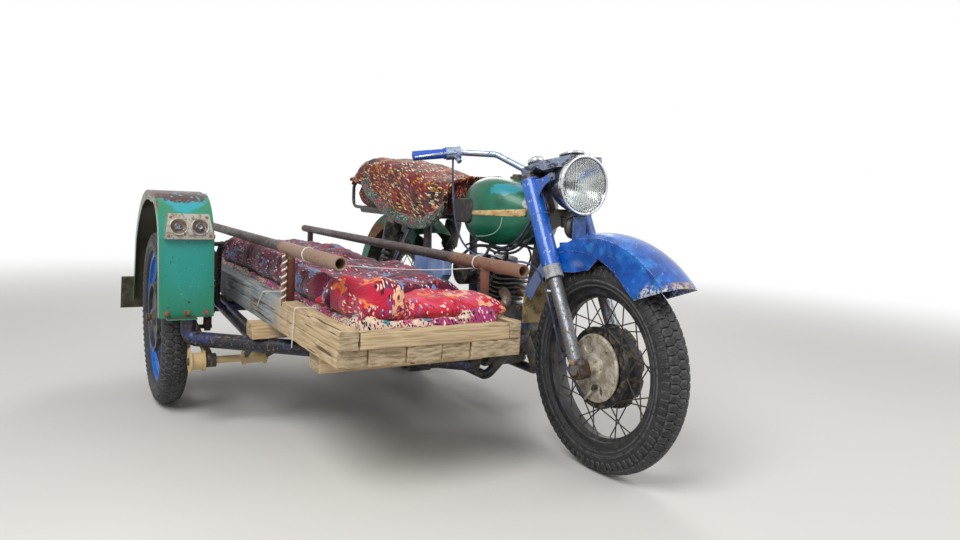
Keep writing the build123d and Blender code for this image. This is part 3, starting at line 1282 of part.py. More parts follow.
def build_nodes():
    """All pieces by node name, in the modelling frame."""
    wheel = spoked_wheel()
    rubber = tyre()
    sidecar_turn = Pos(*SIDECAR_AXLE) * Rot(0, 0, 180)
    frame = main_frame()
    tank = fuel_tank([spine_tube(2), down_tube(3)])
    yokes = steering_stem()
    bar = handlebar()
    drum_plate = Pos(*FRONT_AXLE) * brake_plate(CLAMP_W / 2 - LEG_SPREAD / 2)
    guard = front_mudguard()
    rear_guard = rear_mudguard(frame)
    case = engine()
    barrel = cylinder(case)
    side_guard = sidecar_mudguard()
    nodes = {
        "main_frame": frame,
        "fuel_tank": tank,
        "tank_cap": tank_cap(tank),
        "seat": seat(frame),
        "seat_blanket": seat_blanket(),
        "rear_rack": rear_rack(),
        "rear_mudguard": rear_guard,
        "tail_lamp": tail_lamp(),
        "swingarm": swingarm(),
        "rear_axle": rear_axle(),
        "engine": case,
        "cylinder": barrel,
        "carburettor": carburettor(barrel),
        "chain_case": chain_case(case),
        "centre_stand": centre_stand(),
        "sidecar_frame": sidecar_frame(frame),
        "sidecar_arm": sidecar_arm(),
        "sidecar_shock": sidecar_shock(),
        "sidecar_mudguard": side_guard,
        "sidecar_mud_flap": sidecar_mud_flap(),
        "sidecar_lamp_plate": sidecar_lamp_plate(side_guard),
        "bed_floor": bed_floor(),
        "bed_bearers": bed_bearers(),
        "bed_border": bed_border(),
        "bed_rail_right": bed_rail(RIGHT_RAIL_Y, RIGHT_RAIL_CLEAR, *RIGHT_RAIL),
        "bed_rail_left": bed_rail(LEFT_RAIL_Y, LEFT_RAIL_CLEAR, *LEFT_RAIL),
        "quilt_lower": quilt_lower(),
        "quilt_upper": quilt_upper(),
        "steering_stem": yokes,
        "fork_sliders": fork_sliders(),
        "fork_shrouds": fork_shrouds(),
        "handlebar": bar,
        "headlamp_shell": headlamp_shell(),
        "headlamp_lens": headlamp_lens(),
        "nacelle": nacelle(),
        "horn": horn(yokes),
        "front_mudguard": guard,
        "front_mud_flap": front_mud_flap(guard),
        "front_brake_plate": drum_plate,
        "brake_cable": brake_cable(bar, drum_plate),
        "front_axle": front_axle(),
        "front_tyre": Pos(*FRONT_AXLE) * rubber,
        "front_spoked_wheel": Pos(*FRONT_AXLE) * wheel,
        "rear_tyre": Pos(*REAR_AXLE) * rubber,
        "rear_spoked_wheel": Pos(*REAR_AXLE) * wheel,
        "sidecar_tyre": sidecar_turn * rubber,
        "sidecar_spoked_wheel": sidecar_turn * wheel,
    }
    for name, side in SIDES:
        nodes[f"knee_pad_{name}"] = knee_pad(side, tank)
        nodes[f"rear_shock_{name}"] = rear_shock(side)
        nodes[f"exhaust_{name}"] = exhaust(side, barrel)
        nodes[f"side_panel_{name}"] = side_panel(side)
        nodes[f"grip_{name}"] = grip(side)
    return nodes


def main():
    """Build every piece, shift it to the part's own frame and write it."""
    os.makedirs("parts", exist_ok=True)
    nodes = build_nodes()
    corners = [shape.bounding_box() for shape in nodes.values()]
    middle_x = (min(c.min.X for c in corners) + max(c.max.X for c in corners)) / 2
    middle_y = (min(c.min.Y for c in corners) + max(c.max.Y for c in corners)) / 2
    shift = Pos(-middle_x, -middle_y, -GROUND_Z)
    print("shift to the part's frame, mm:", round(-middle_x, 3), round(-middle_y, 3), round(-GROUND_Z, 3))
    for name, shape in nodes.items():
        export_step(shift * shape, f"parts/{name}.step")


main()
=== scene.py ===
"""Looks of an old two-stroke motorcycle whose sidecar carries a wooden load bed.

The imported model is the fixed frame. Each class dresses one sub-assembly: it gives the solids
their finish, or builds finer pieces that stand for them. Sizes are millimetres of the drawing,
whose zero is on the ground under the rear axle: X forward, Y to the rider's left, Z up.
"""
from __future__ import annotations

import json
import logging
import math
from collections.abc import Iterable, Iterator, Sequence
from contextlib import contextmanager
from dataclasses import dataclass
from enum import Enum

import bmesh
import bpy
from bpy.types import Material, Mesh, Node, NodeTree, Object
from mathutils import Matrix, Vector, noise
from mathutils.bvhtree import BVHTree

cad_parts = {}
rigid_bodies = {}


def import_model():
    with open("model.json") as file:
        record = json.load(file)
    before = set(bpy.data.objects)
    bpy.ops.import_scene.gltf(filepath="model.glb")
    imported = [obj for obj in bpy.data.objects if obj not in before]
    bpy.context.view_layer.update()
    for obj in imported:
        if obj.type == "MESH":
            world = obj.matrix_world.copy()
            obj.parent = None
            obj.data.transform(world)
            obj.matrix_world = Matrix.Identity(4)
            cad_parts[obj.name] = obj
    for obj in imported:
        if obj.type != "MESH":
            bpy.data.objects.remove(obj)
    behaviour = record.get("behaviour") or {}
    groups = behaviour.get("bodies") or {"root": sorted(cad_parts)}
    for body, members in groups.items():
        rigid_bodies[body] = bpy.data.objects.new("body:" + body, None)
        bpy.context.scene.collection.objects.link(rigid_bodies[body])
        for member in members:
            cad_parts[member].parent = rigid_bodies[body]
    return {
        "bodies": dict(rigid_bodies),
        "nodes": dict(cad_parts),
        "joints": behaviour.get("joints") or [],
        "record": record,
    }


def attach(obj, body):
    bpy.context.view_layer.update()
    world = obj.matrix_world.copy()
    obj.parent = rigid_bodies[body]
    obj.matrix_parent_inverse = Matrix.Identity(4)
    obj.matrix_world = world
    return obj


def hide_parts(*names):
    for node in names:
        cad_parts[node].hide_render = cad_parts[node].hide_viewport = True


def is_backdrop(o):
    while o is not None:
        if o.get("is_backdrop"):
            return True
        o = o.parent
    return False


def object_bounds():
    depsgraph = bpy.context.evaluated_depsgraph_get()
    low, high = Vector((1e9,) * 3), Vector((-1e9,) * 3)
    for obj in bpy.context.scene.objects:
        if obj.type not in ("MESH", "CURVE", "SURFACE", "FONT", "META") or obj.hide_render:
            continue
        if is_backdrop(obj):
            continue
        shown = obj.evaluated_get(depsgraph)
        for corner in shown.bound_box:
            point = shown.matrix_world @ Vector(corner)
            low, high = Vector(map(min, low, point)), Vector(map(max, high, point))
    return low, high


logging.basicConfig(level=logging.INFO, format="%(message)s")
log = logging.getLogger("sidecar")

Point = tuple[float, float, float]
Pairs = Sequence[tuple[float, float]]
Socket = bpy.types.NodeSocket

MM = 0.001
NOISE_SEED = 3
SIDES = (-1, 1)
AXLE_FRONT = (1400.0, 0.0, 322.5)
AXLE_REAR = (0.0, 0.0, 322.5)
AXLE_SIDECAR = (160.0, -1077.0, 322.5)
WHEEL_CENTRES = {"front": AXLE_FRONT, "rear": AXLE_REAR, "sidecar": AXLE_SIDECAR}
FORK_FOOT = (1338.19, 0.0, 289.64)
RAKE = math.radians(28.0)
BED_CORNER = (1400.0, -850.0)


def linear(code: str) -> tuple[float, float, float, float]:
    """Turn an sRGB hex colour into linear RGBA.

    Args:
        code: Colour as #rrggbb.

    Returns:
        Linear red, green, blue and an alpha of one.
    """
    parts = [int(code[i : i + 2], 16) / 255 for i in (1, 3, 5)]
    red, green, blue = (c / 12.92 if c <= 0.04045 else ((c + 0.055) / 1.055) ** 2.4 for c in parts)
    return (red, green, blue, 1.0)


def set_inputs(node: Node, values: dict) -> None:
    """Give a node's inputs, by name or index, a value or a link from another node's socket.

    Args:
        node: Node that gets them.
        values: Values or sockets, by the input's name or index.
    """
    for key, value in values.items():
        if isinstance(value, Socket):
            node.id_data.links.new(value, node.inputs[key])
        else:
            node.inputs[key].default_value = value


def add_node(tree: NodeTree, kind: str, inputs: dict | None = None, out: int | str = 0,
             **settings: object) -> Socket:
    """Add one node with its settings and links.

    Args:
        tree: Tree that gets the node.
        kind: Blender's name of the node type, short of a leading ShaderNode.
        inputs: Values or sockets for the node's inputs, by name or index.
        out: Which output to hand back.
        **settings: Properties of the node.

    Returns:
        The chosen output socket.
    """
    node = tree.nodes.new(kind if kind.startswith(("Geometry", "Function")) else f"ShaderNode{kind}")
    for name, value in settings.items():
        setattr(node, name, value)
    set_inputs(node, inputs or {})
    return node.outputs[out]


def laid_over(tree: NodeTree, base: Socket | float | tuple, layers: Iterable[tuple],
              colour: bool = True) -> Socket | float | tuple:
    """Lay values over one another, each where its mask is white.

    Args:
        tree: Tree of the material.
        base: Lowest value: a linear colour, a number or a socket.
        layers: Pairs of a mask and the value that it lets through.
        colour: Whether the values are colours.

    Returns:
        Socket of the result, or the base where there are no layers.
    """
    below, above, out, kind = (6, 7, 2, "RGBA") if colour else (2, 3, 0, "FLOAT")
    for mask, value in layers:
        base = add_node(tree, "Mix", {0: mask, below: base, above: value}, out=out, data_type=kind)
    return base


def new_material(name: str) -> tuple[Material, NodeTree, Node]:
    """Start an empty material with a surface shader.

    Args:
        name: Plain name of the real material.

    Returns:
        The material, its tree and its shader node.
    """
    material = bpy.data.materials.new(name)
    material.use_nodes = True
    tree = material.node_tree
    tree.nodes.clear()
    surface = add_node(tree, "BsdfPrincipled")
    set_inputs(tree.nodes.new("ShaderNodeOutputMaterial"), {"Surface": surface})
    return material, tree, surface.node


@dataclass(frozen=True)
class Coat:
    """One layer over the finish below it: cloudy paint, chips, rust, dust, a worn patch, or painted shade,
    highlight or sky reflection.

    The layer shows where a noise of size_mm rises above level. A centre and half sizes keep it
    inside a ragged ellipsoid, edge_mm keeps it on worn edges and inner_of on the faces that look
    towards a point, such as the inside of a mudguard.
    """

    colour: str
    size_mm: float = 40.0
    level: float | None = 0.5
    soft: float = 0.05
    strength: float = 1.0
    stretch: Point = (1.0, 1.0, 1.0)
    centre: Point | None = None
    half: Point = (100.0, 100.0, 100.0)
    ragged: float = 0.5
    edge_mm: float = 0.0
    inner_of: Point | None = None
    roughness: float | None = None
    metallic: float | None = None
    sink_mm: float = 0.0
    seed: float = 0.0

    def mask(self, tree: NodeTree, where: Socket, shop: Shop) -> Socket:
        """Build the mask of this layer.

        Args:
            tree: Tree of the material.
            where: Object coordinates in metres.
            shop: Workshop, for the place of the drawing's zero.

        Returns:
            Socket from 0, bare, to 1, covered.
        """
        scale = tuple(s / (self.size_mm * MM) for s in self.stretch)
        shift = (self.seed * 7.3, self.seed * 3.1, self.seed)
        moved = add_node(tree, "Mapping", {"Vector": where, "Scale": scale, "Location": shift})
        grain = add_node(tree, "TexNoise",
                         {"Vector": moved, "Scale": 1.0, "Detail": 5.0, "Roughness": 0.62})
        factors = []
        if self.level is not None:
            spots = {"Value": grain, 1: self.level - self.soft, 2: self.level + self.soft}
            factors.append(add_node(tree, "MapRange", spots, interpolation_type="SMOOTHSTEP"))
        if self.centre is not None:
            factors.append(self.patch(tree, where, grain, shop))
        if self.edge_mm:
            rounded = add_node(tree, "Bevel", {"Radius": self.edge_mm * MM}, samples=4)
            flat = add_node(tree, "NewGeometry", out="True Normal")
            along = add_node(tree, "VectorMath", {0: rounded, 1: flat}, out="Value",
                             operation="DOT_PRODUCT")
            factors.append(add_node(tree, "MapRange", {"Value": along, 1: 0.985, 2: 0.9}))
        if self.inner_of is not None:
            apart = add_node(tree, "VectorMath", {0: where, 1: shop.at(*self.inner_of)},
                             operation="SUBTRACT")
            flat = add_node(tree, "NewGeometry", out="True Normal")
            facing = add_node(tree, "VectorMath", {0: apart, 1: flat}, out="Value", operation="DOT_PRODUCT")
            factors.append(add_node(tree, "Math", {0: facing, 1: 0.0}, operation="LESS_THAN"))
        if self.strength < 1.0:
            factors.append(self.strength)
        product = factors[0]
        for factor in factors[1:]:
            product = add_node(tree, "Math", {0: product, 1: factor}, operation="MULTIPLY")
        return product

    def patch(self, tree: NodeTree, where: Socket, grain: Socket, shop: Shop) -> Socket:
        """Build the ragged ellipsoid that keeps the layer on its patch.

        Args:
            tree: Tree of the material.
            where: Object coordinates in metres.
            grain: Noise that makes the rim uneven.
            shop: Workshop, for the place of the drawing's zero.

        Returns:
            Socket from 0, outside, to 1, inside.
        """
        apart = add_node(tree, "VectorMath", {0: where, 1: shop.at(*self.centre)}, operation="SUBTRACT")
        inverse = tuple(1 / (h * MM) for h in self.half)
        scaled = add_node(tree, "VectorMath", {0: apart, 1: inverse}, operation="MULTIPLY")
        reach = add_node(tree, "VectorMath", {0: scaled}, out="Value", operation="LENGTH")
        swing = {0: grain, 1: self.ragged * 2, 2: -self.ragged}
        uneven = add_node(tree, "Math", swing, operation="MULTIPLY_ADD")
        rim = add_node(tree, "Math", {0: reach, 1: uneven}, operation="ADD")
        inside = {"Value": rim, 1: 1.0 + self.soft, 2: 1.0 - self.soft}
        return add_node(tree, "MapRange", inside, interpolation_type="SMOOTHSTEP")


@dataclass(frozen=True)
class Finish:
    """Surface of one real material, built up in layers over a base."""

    name: str
    base: str
    roughness: float = 0.5
    metallic: float = 0.0
    gloss: float = 0.0
    specular: float = 0.5
    grain_mm: float = 2.0
    grain_height_mm: float = 0.05
    coats: tuple[Coat, ...] = ()
    varnish_roughness: float = 0.12

    def build(self, shop: Shop) -> Material:
        """Make the material.

        Args:
            shop: Workshop that keeps the material.

        Returns:
            The new material.
        """
        material, tree, shader = new_material(self.name)
        where = add_node(tree, "TexCoord", out="Object")
        worn = [(coat.mask(tree, where, shop), coat) for coat in self.coats]
        rough = [(mask, coat.roughness) for mask, coat in worn if coat.roughness is not None]
        metal = [(mask, coat.metallic) for mask, coat in worn if coat.metallic is not None]
        set_inputs(shader, {
            "Base Color": laid_over(tree, linear(self.base),
                                    [(mask, linear(coat.colour)) for mask, coat in worn]),
            "Roughness": laid_over(tree, self.roughness, rough, colour=False),
            "Metallic": laid_over(tree, self.metallic, metal, colour=False),
            "Coat Weight": self.gloss,
            "Coat Roughness": self.varnish_roughness,
            "Specular IOR Level": self.specular,
            "Normal": self.relief(tree, where, worn),
        })
        return material

    def relief(self, tree: NodeTree, where: Socket, worn: list[tuple[Socket, Coat]]) -> Socket:
        """Raise the grain and sink the chips by real depths.

        Args:
            tree: Tree of the material.
            where: Object coordinates in metres.
            worn: Pairs of a mask and its layer.

        Returns:
            Bent normal of the surface.
        """
        grain = add_node(tree, "TexNoise",
                         {"Vector": where, "Scale": 1 / (self.grain_mm * MM), "Detail": 3.0})
        height = add_node(tree, "Math", {0: grain, 1: self.grain_height_mm}, operation="MULTIPLY")
        for mask, coat in worn:
            if coat.sink_mm:
                sunk = {0: mask, 1: -coat.sink_mm, 2: height}
                height = add_node(tree, "Math", sunk, operation="MULTIPLY_ADD")
        return add_node(tree, "Bump", {"Height": height, "Distance": MM, "Strength": 1.0})


class Shop:
    """The workshop: the loaded frame, the drawing's place in it, and what makes pieces from them."""

    def __init__(self) -> None:
        """Load the frame and find the drawing's zero from the rear wheel's axle."""
        self.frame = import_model()
        self.cad_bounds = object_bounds()
        axle = next(j for j in self.frame["joints"] if j["name"] == "rear_wheel_spin")["pos_m"]
        self.zero = Vector((axle[0], axle[1], 0.0))
        self.materials: dict[str, Material] = {}
        self.trees: dict[str, BVHTree] = {}

    def at(self, x: float, y: float, z: float) -> Vector:
        """Give the place in metres of a point of the drawing."""
        return self.zero + Vector((x, y, z)) * MM

    def material(self, finish: Finish) -> Material:
        """Give the material of a finish, made once.

        Args:
            finish: Finish of a real surface.

        Returns:
            Its material.
        """
        if finish.name not in self.materials:
            self.materials[finish.name] = finish.build(self)
        return self.materials[finish.name]

    def dress(self, finish: Finish, *nodes: str) -> None:
        """Give solids of the frame their finish.

        Args:
            finish: Finish of the real surface.
            *nodes: Names of the solids.
        """
        for name in nodes:
            data = self.frame["nodes"][name].data
            data.materials.clear()
            data.materials.append(self.material(finish))
            log.info("dressed %s in %s", name, finish.name)

    def place(self, name: str, data: Mesh, finish: Finish, body: str, slot: str,
              replaces: Iterable[str] = (), smooth: bool = True) -> Object:
        """Put a finished mesh in the scene as a piece that rides on a body.

        Args:
            name: Name of the piece.
            data: Mesh with its place in it.
            finish: Finish of the whole piece.
            body: Body that carries it.
            slot: Material slot of the record; not used.
            replaces: Solids that the piece stands for.
            smooth: Whether its faces are shaded smooth.

        Returns:
            The new object.
        """
        data.materials.clear()
        data.materials.append(self.material(finish))
        data.polygons.foreach_set("use_smooth", [smooth] * len(data.polygons))
        piece = bpy.data.objects.new(name, data)
        bpy.context.scene.collection.objects.link(piece)
        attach(piece, body)
        if replaces:
            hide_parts(*replaces)
        log.info("made %s: %d faces", name, len(data.polygons))
        return piece

    def fasten(self, name: str, spots: Sequence[tuple[Vector, Vector]], shape: Mesh, finish: Finish,
               body: str) -> None:
        """Set a fastener on every spot, as one piece.

        Args:
            name: Name of the piece.
            spots: Place and outward direction of each fastener.
            shape: Small mesh that stands on Z = 0.
            finish: Finish of the fasteners.
            body: Body that carries them.
        """
        points = bpy.data.meshes.new(f"{name}_spots")
        points.from_pydata([tuple(place) for place, _ in spots], [], [])
        facing = points.attributes.new("facing", "FLOAT_VECTOR", "POINT")
        for index, (_, way) in enumerate(spots):
            facing.data[index].vector = way
        tree = repeat_tree(f"{name}_tree", round_axis=False)
        data = repeated(name, tree, points, shape, {"Finish": self.material(finish)})
        self.place(name, data, finish, body, "plain_steel", smooth=False)

    def touch(self, node: str, start: Point, way: Point) -> tuple[Vector, Vector]:
        """Find where a ray meets a solid.

        Args:
            node: Name of the solid.
            start: Start of the ray, in the drawing.
            way: Direction of the ray.

        Returns:
            Place in metres and normal of the first hit.
        """
        if node not in self.trees:
            data = self.frame["nodes"][node].data
            corners = [v.co.copy() for v in data.vertices]
            self.trees[node] = BVHTree.FromPolygons(corners, [tuple(p.vertices) for p in data.polygons])
        place, normal, _, _ = self.trees[node].ray_cast(self.at(*start), Vector(way).normalized())
        return place, normal


def fork_point(forward: float, side: float, height: float) -> Point:
    """Give the drawing's point of fork coordinates: ahead of the axis, left, and up along it.

    Args:
        forward: Way ahead of the steering axis.
        side: Way to the left.
        height: Way up along the axis.

    Returns:
        The point of the drawing.
    """
    x = FORK_FOOT[0] + forward * math.cos(RAKE) - height * math.sin(RAKE)
    z = FORK_FOOT[2] + forward * math.sin(RAKE) + height * math.cos(RAKE)
    return (x, side, z)


def bed_point(ahead: float, left: float, z: float) -> Point:
    """Give the drawing's point of bed coordinates, from the bed's front right corner."""
    return (BED_CORNER[0] + ahead, BED_CORNER[1] + left, z)


@contextmanager
def edited(data: Mesh) -> Iterator[bmesh.types.BMesh]:
    """Open a mesh for editing and write it back at the end.

    Args:
        data: Mesh to edit.

    Returns:
        The open editing mesh, once.
    """
    build = bmesh.new()
    build.from_mesh(data)
    yield build
    build.to_mesh(data)
    build.free()


def make_mesh(name: str, points: Sequence[Vector], faces: Sequence[Sequence[int]],
              uvs: Pairs | None = None, weld: float = 0.0, rim_only: bool = False) -> Mesh:
    """Build a mesh from points, faces and one UV per point.

    Args:
        name: Name of the mesh.
        points: Corners, in metres.
        faces: Corner numbers of each face.
        uvs: Place of each corner on the cloth or board, in metres.
        weld: Distance in metres within which corners are merged, or zero for none.
        rim_only: Whether only the corners of open edges are merged.

    Returns:
        The mesh, with its normals outwards.
    """
    data = bpy.data.meshes.new(name)
    data.from_pydata([tuple(p) for p in points], [], [tuple(f) for f in faces])
    if uvs is not None:
        layer = data.uv_layers.new(name="flat")
        for loop in data.loops:
            layer.data[loop.index].uv = uvs[loop.vertex_index]
    with edited(data) as build:
        bmesh.ops.recalc_face_normals(build, faces=build.faces)
    if weld:
        with edited(data) as build:
            corners = [v for v in build.verts if v.is_boundary or not rim_only]
            bmesh.ops.remove_doubles(build, verts=corners, dist=weld)
            bmesh.ops.recalc_face_normals(build, faces=build.faces)
    return data


def join_meshes(name: str, parts: Sequence[Mesh]) -> Mesh:
    """Join meshes of one piece into one mesh, keeping their UV maps.

    Args:
        name: Name of the joined mesh.
        parts: Meshes of the piece.

    Returns:
        The joined mesh.
    """
    build = bmesh.new()
    for part in parts:
        build.from_mesh(part)
    data = bpy.data.meshes.new(name)
    build.to_mesh(data)
    build.free()
    return data


def two_skins(name: str, tops: list[Vector], bottoms: list[Vector], uvs: Pairs, rows: int,
              columns: int) -> Mesh:
    """Join two grids that share their rim into one closed mesh.

    Args:
        name: Name of the mesh.
        tops: Corners of the upper grid, row by row.
        bottoms: Corners of the lower grid.
        uvs: Place of each corner on the cloth.
        rows: Cells along the grid.
        columns: Cells across it.

    Returns:
        The closed mesh.
    """
    wide = columns + 1
    faces = []
    for row in range(rows):
        for column in range(columns):
            a = row * wide + column
            quad = (a, a + 1, a + wide + 1, a + wide)
            faces.append(quad)
            faces.append(tuple(k + len(tops) for k in quad[::-1]))
    return make_mesh(name, tops + bottoms, faces, [*uvs, *uvs], weld=2e-4, rim_only=True)


def subdivide(piece: Object, levels: int) -> None:
    """Round a soft piece with a live subdivision."""
    smooth = piece.modifiers.new("smooth", "SUBSURF")
    smooth.levels = smooth.render_levels = levels


def eased(stations: Pairs, x: float) -> float:
    """Read a height from stations of place and height, eased between them.

    Args:
        stations: Pairs of a place and its height, in order.
        x: Place to read.

    Returns:
        The height there.
    """
    for (x0, z0), (x1, z1) in zip(stations, stations[1:]):
        if x <= x1:
            share = max(0.0, (x - x0) / (x1 - x0))
            share = share * share * (3 - 2 * share) * 0.5 + share * 0.5
            return z0 + (z1 - z0) * share
    return stations[-1][1]


def smooth_line(points: Sequence[Vector], steps: int) -> list[Vector]:
    """Run a smooth line through points.

    Args:
        points: Points that the line passes.
        steps: Pieces between two points.

    Returns:
        Points along the line.
    """
    last = len(points) - 1
    line = []
    for index in range(last):
        a, b, c, d = (points[min(max(index + k, 0), last)] for k in (-1, 0, 1, 2))
        bend, twist = 2 * a - 5 * b + 4 * c - d, 3 * b - a - 3 * c + d
        for step in range(steps):
            t = step / steps
            line.append(0.5 * ((2 * b) + (c - a) * t + bend * t**2 + twist * t**3))
    line.append(points[-1].copy())
    return line


def tube_faces(rings: int, sides: int) -> list[tuple[int, ...]]:
    """Give the faces between rings of corners, with a cap on both ends.

    Args:
        rings: Number of rings.
        sides: Corners of each ring.

    Returns:
        Corner numbers of each face.
    """
    faces = []
    for ring in range(rings - 1):
        for side in range(sides):
            a, b = ring * sides + side, ring * sides + (side + 1) % sides
            faces.append((a, b, b + sides, a + sides))
    faces.append(tuple(range(sides))[::-1])
    faces.append(tuple((rings - 1) * sides + side for side in range(sides)))
    return faces


def pipe(name: str, points: Sequence[Vector], radius: float, sides: int = 10, steps: int = 5) -> Mesh:
    """Make a round tube along a smooth line.

    Args:
        name: Name of the mesh.
        points: Points in metres that the middle line passes.
        radius: Radius in metres.
        sides: Corners of the section.
        steps: Pieces between two points.

    Returns:
        The closed tube.
    """
    line = smooth_line(points, steps) if steps > 1 else list(points)
    corners: list[Vector] = []
    across = Vector((0.0, 0.0, 1.0))
    for index, place in enumerate(line):
        before, after = line[max(index - 1, 0)], line[min(index + 1, len(line) - 1)]
        along = (after - before).normalized()
        across = across - along * across.dot(along)
        if across.length < 0.05:
            across = along.orthogonal()
        across.normalize()
        beside = along.cross(across)
        for corner in range(sides):
            turn = math.tau * corner / sides
            corners.append(place + (across * math.cos(turn) + beside * math.sin(turn)) * radius)
    return make_mesh(name, corners, tube_faces(len(line), sides))


def turned(name: str, outline: Pairs, place: Vector, axis: Vector, segments: int = 48,
           closed: bool = True) -> Mesh:
    """Turn an outline on a lathe.

    Args:
        name: Name of the mesh.
        outline: Radius and place along the axis of each corner, in millimetres.
        place: Zero of the outline on the axis, in metres.
        axis: Direction of the axis.
        segments: Steps of a full turn.
        closed: Whether the outline runs back to its start.

    Returns:
        The turned mesh.
    """
    axis = axis.normalized()
    across = axis.orthogonal().normalized()
    beside = axis.cross(across)
    points = []
    for step in range(segments):
        turn = math.tau * step / segments
        out = across * math.cos(turn) + beside * math.sin(turn)
        points += [place + (out * radius + axis * along) * MM for radius, along in outline]
    size = len(outline)
    faces = []
    for step in range(segments):
        here, after = step * size, ((step + 1) % segments) * size
        for corner in range(size if closed else size - 1):
            following = (corner + 1) % size
            faces.append((here + corner, here + following, after + following, after + corner))
    return make_mesh(name, points, faces, weld=1e-6)


def repeat_tree(name: str, round_axis: bool) -> NodeTree:
    """Build a Geometry Nodes tree that repeats a small shape and joins it to its host.

    Args:
        name: Name of the tree.
        round_axis: True repeats the shape in a ring about Y through the host's zero; False sets it
            on every corner of the host's loose points, facing along the attribute "facing".

    Returns:
        The tree, with inputs Shape, Count, Centre and Finish.
    """
    tree = bpy.data.node_groups.new(name, "GeometryNodeTree")
    for label, kind in (("Geometry", "Geometry"), ("Shape", "Object"), ("Count", "Int"),
                        ("Centre", "Vector"), ("Finish", "Material")):
        tree.interface.new_socket(name=label, in_out="INPUT", socket_type=f"NodeSocket{kind}")
    tree.interface.new_socket(name="Geometry", in_out="OUTPUT", socket_type="NodeSocketGeometry")
    given = tree.nodes.new("NodeGroupInput").outputs
    shape = add_node(tree, "GeometryNodeObjectInfo", {"Object": given["Shape"]}, out="Geometry")
    if round_axis:
        points = add_node(tree, "GeometryNodePoints", {"Count": given["Count"]})
        number = add_node(tree, "GeometryNodeInputIndex")
        share = add_node(tree, "Math", {0: number, 1: given["Count"]}, operation="DIVIDE")
        turn = add_node(tree, "Math", {0: share, 1: math.tau}, operation="MULTIPLY")
        rotation = add_node(tree, "CombineXYZ", {"Y": turn})
    else:
        points = given["Geometry"]
        facing = add_node(tree, "GeometryNodeInputNamedAttribute", {"Name": "facing"},
                          data_type="FLOAT_VECTOR")
        rotation = add_node(tree, "FunctionNodeAlignRotationToVector", {"Vector": facing}, axis="Z")
    copies = {"Points": points, "Instance": shape, "Rotation": rotation}
    real = add_node(tree, "GeometryNodeRealizeInstances",
                    {"Geometry": add_node(tree, "GeometryNodeInstanceOnPoints", copies)})
    if round_axis:
        joined = tree.nodes.new("GeometryNodeJoinGeometry")
        set_inputs(joined, {0: real})
        set_inputs(joined, {0: given["Geometry"]})
        moved = {"Geometry": joined.outputs[0], "Translation": given["Centre"]}
        real = add_node(tree, "GeometryNodeTransform", moved)
    coloured = add_node(tree, "GeometryNodeSetMaterial", {"Geometry": real, "Material": given["Finish"]})
    set_inputs(tree.nodes.new("NodeGroupOutput"), {0: coloured})
    return tree


def repeated(name: str, tree: NodeTree, host: Mesh, shape: Mesh, values: dict) -> Mesh:
    """Run a repeating tree once and keep the result as a plain mesh.

    Args:
        name: Name of the result.
        tree: Tree from repeat_tree.
        host: Mesh that carries the modifier.
        shape: Small mesh to repeat.
        values: Count, Centre and Finish, as far as the tree needs them.

    Returns:
        The plain mesh.
    """
    carrier = bpy.data.objects.new(f"{name}_host", host)
    pattern = bpy.data.objects.new(f"{name}_shape", shape)
    for made in (carrier, pattern):
        bpy.context.scene.collection.objects.link(made)
    modifier = carrier.modifiers.new("repeat", "NODES")
    modifier.node_group = tree
    given = {**values, "Shape": pattern}
    for item in tree.interface.items_tree:
        if item.in_out == "INPUT" and item.name in given:
            modifier[item.identifier] = given[item.name]
    graph = bpy.context.evaluated_depsgraph_get()
    result = bpy.data.meshes.new_from_object(carrier.evaluated_get(graph))
    result.name = name
    for made in (carrier, pattern):
        bpy.data.objects.remove(made)
    return result


class Head(Enum):
    """Shapes of fastener heads."""

    HEX = "hexagon nut on a washer"
    SCREW = "slotted cheese head"


def fastener(head: Head, size: float, height: float) -> Mesh:
    """Make one fastener standing on Z = 0.

    Args:
        head: Shape of the head.
        size: Diameter over the head, in millimetres.
        height: Height of the head, in millimetres.

    Returns:
        A mesh of a few dozen faces.
    """
    radius = size / 2
    if head is Head.HEX:
        upper = [(radius, 1.2), (radius * 0.78, 1.3), (radius * 0.78, height)]
    else:
        upper = [(radius, height * 0.8), (radius * 0.85, height)]
    outline = [(0, -2), (radius, -2), *upper, (0, height)]
    segments = 6 if head is Head.HEX else 10
    return turned(head.name.lower(), outline, Vector((0, 0, 0)), Vector((0, 0, 1)), segments, closed=False)


# Road dust on a matt surface: thin, brown-grey and never even.
DUST = Coat("#8d8069", size_mm=55, level=0.56, soft=0.12, strength=0.35, roughness=0.85, seed=3.0)
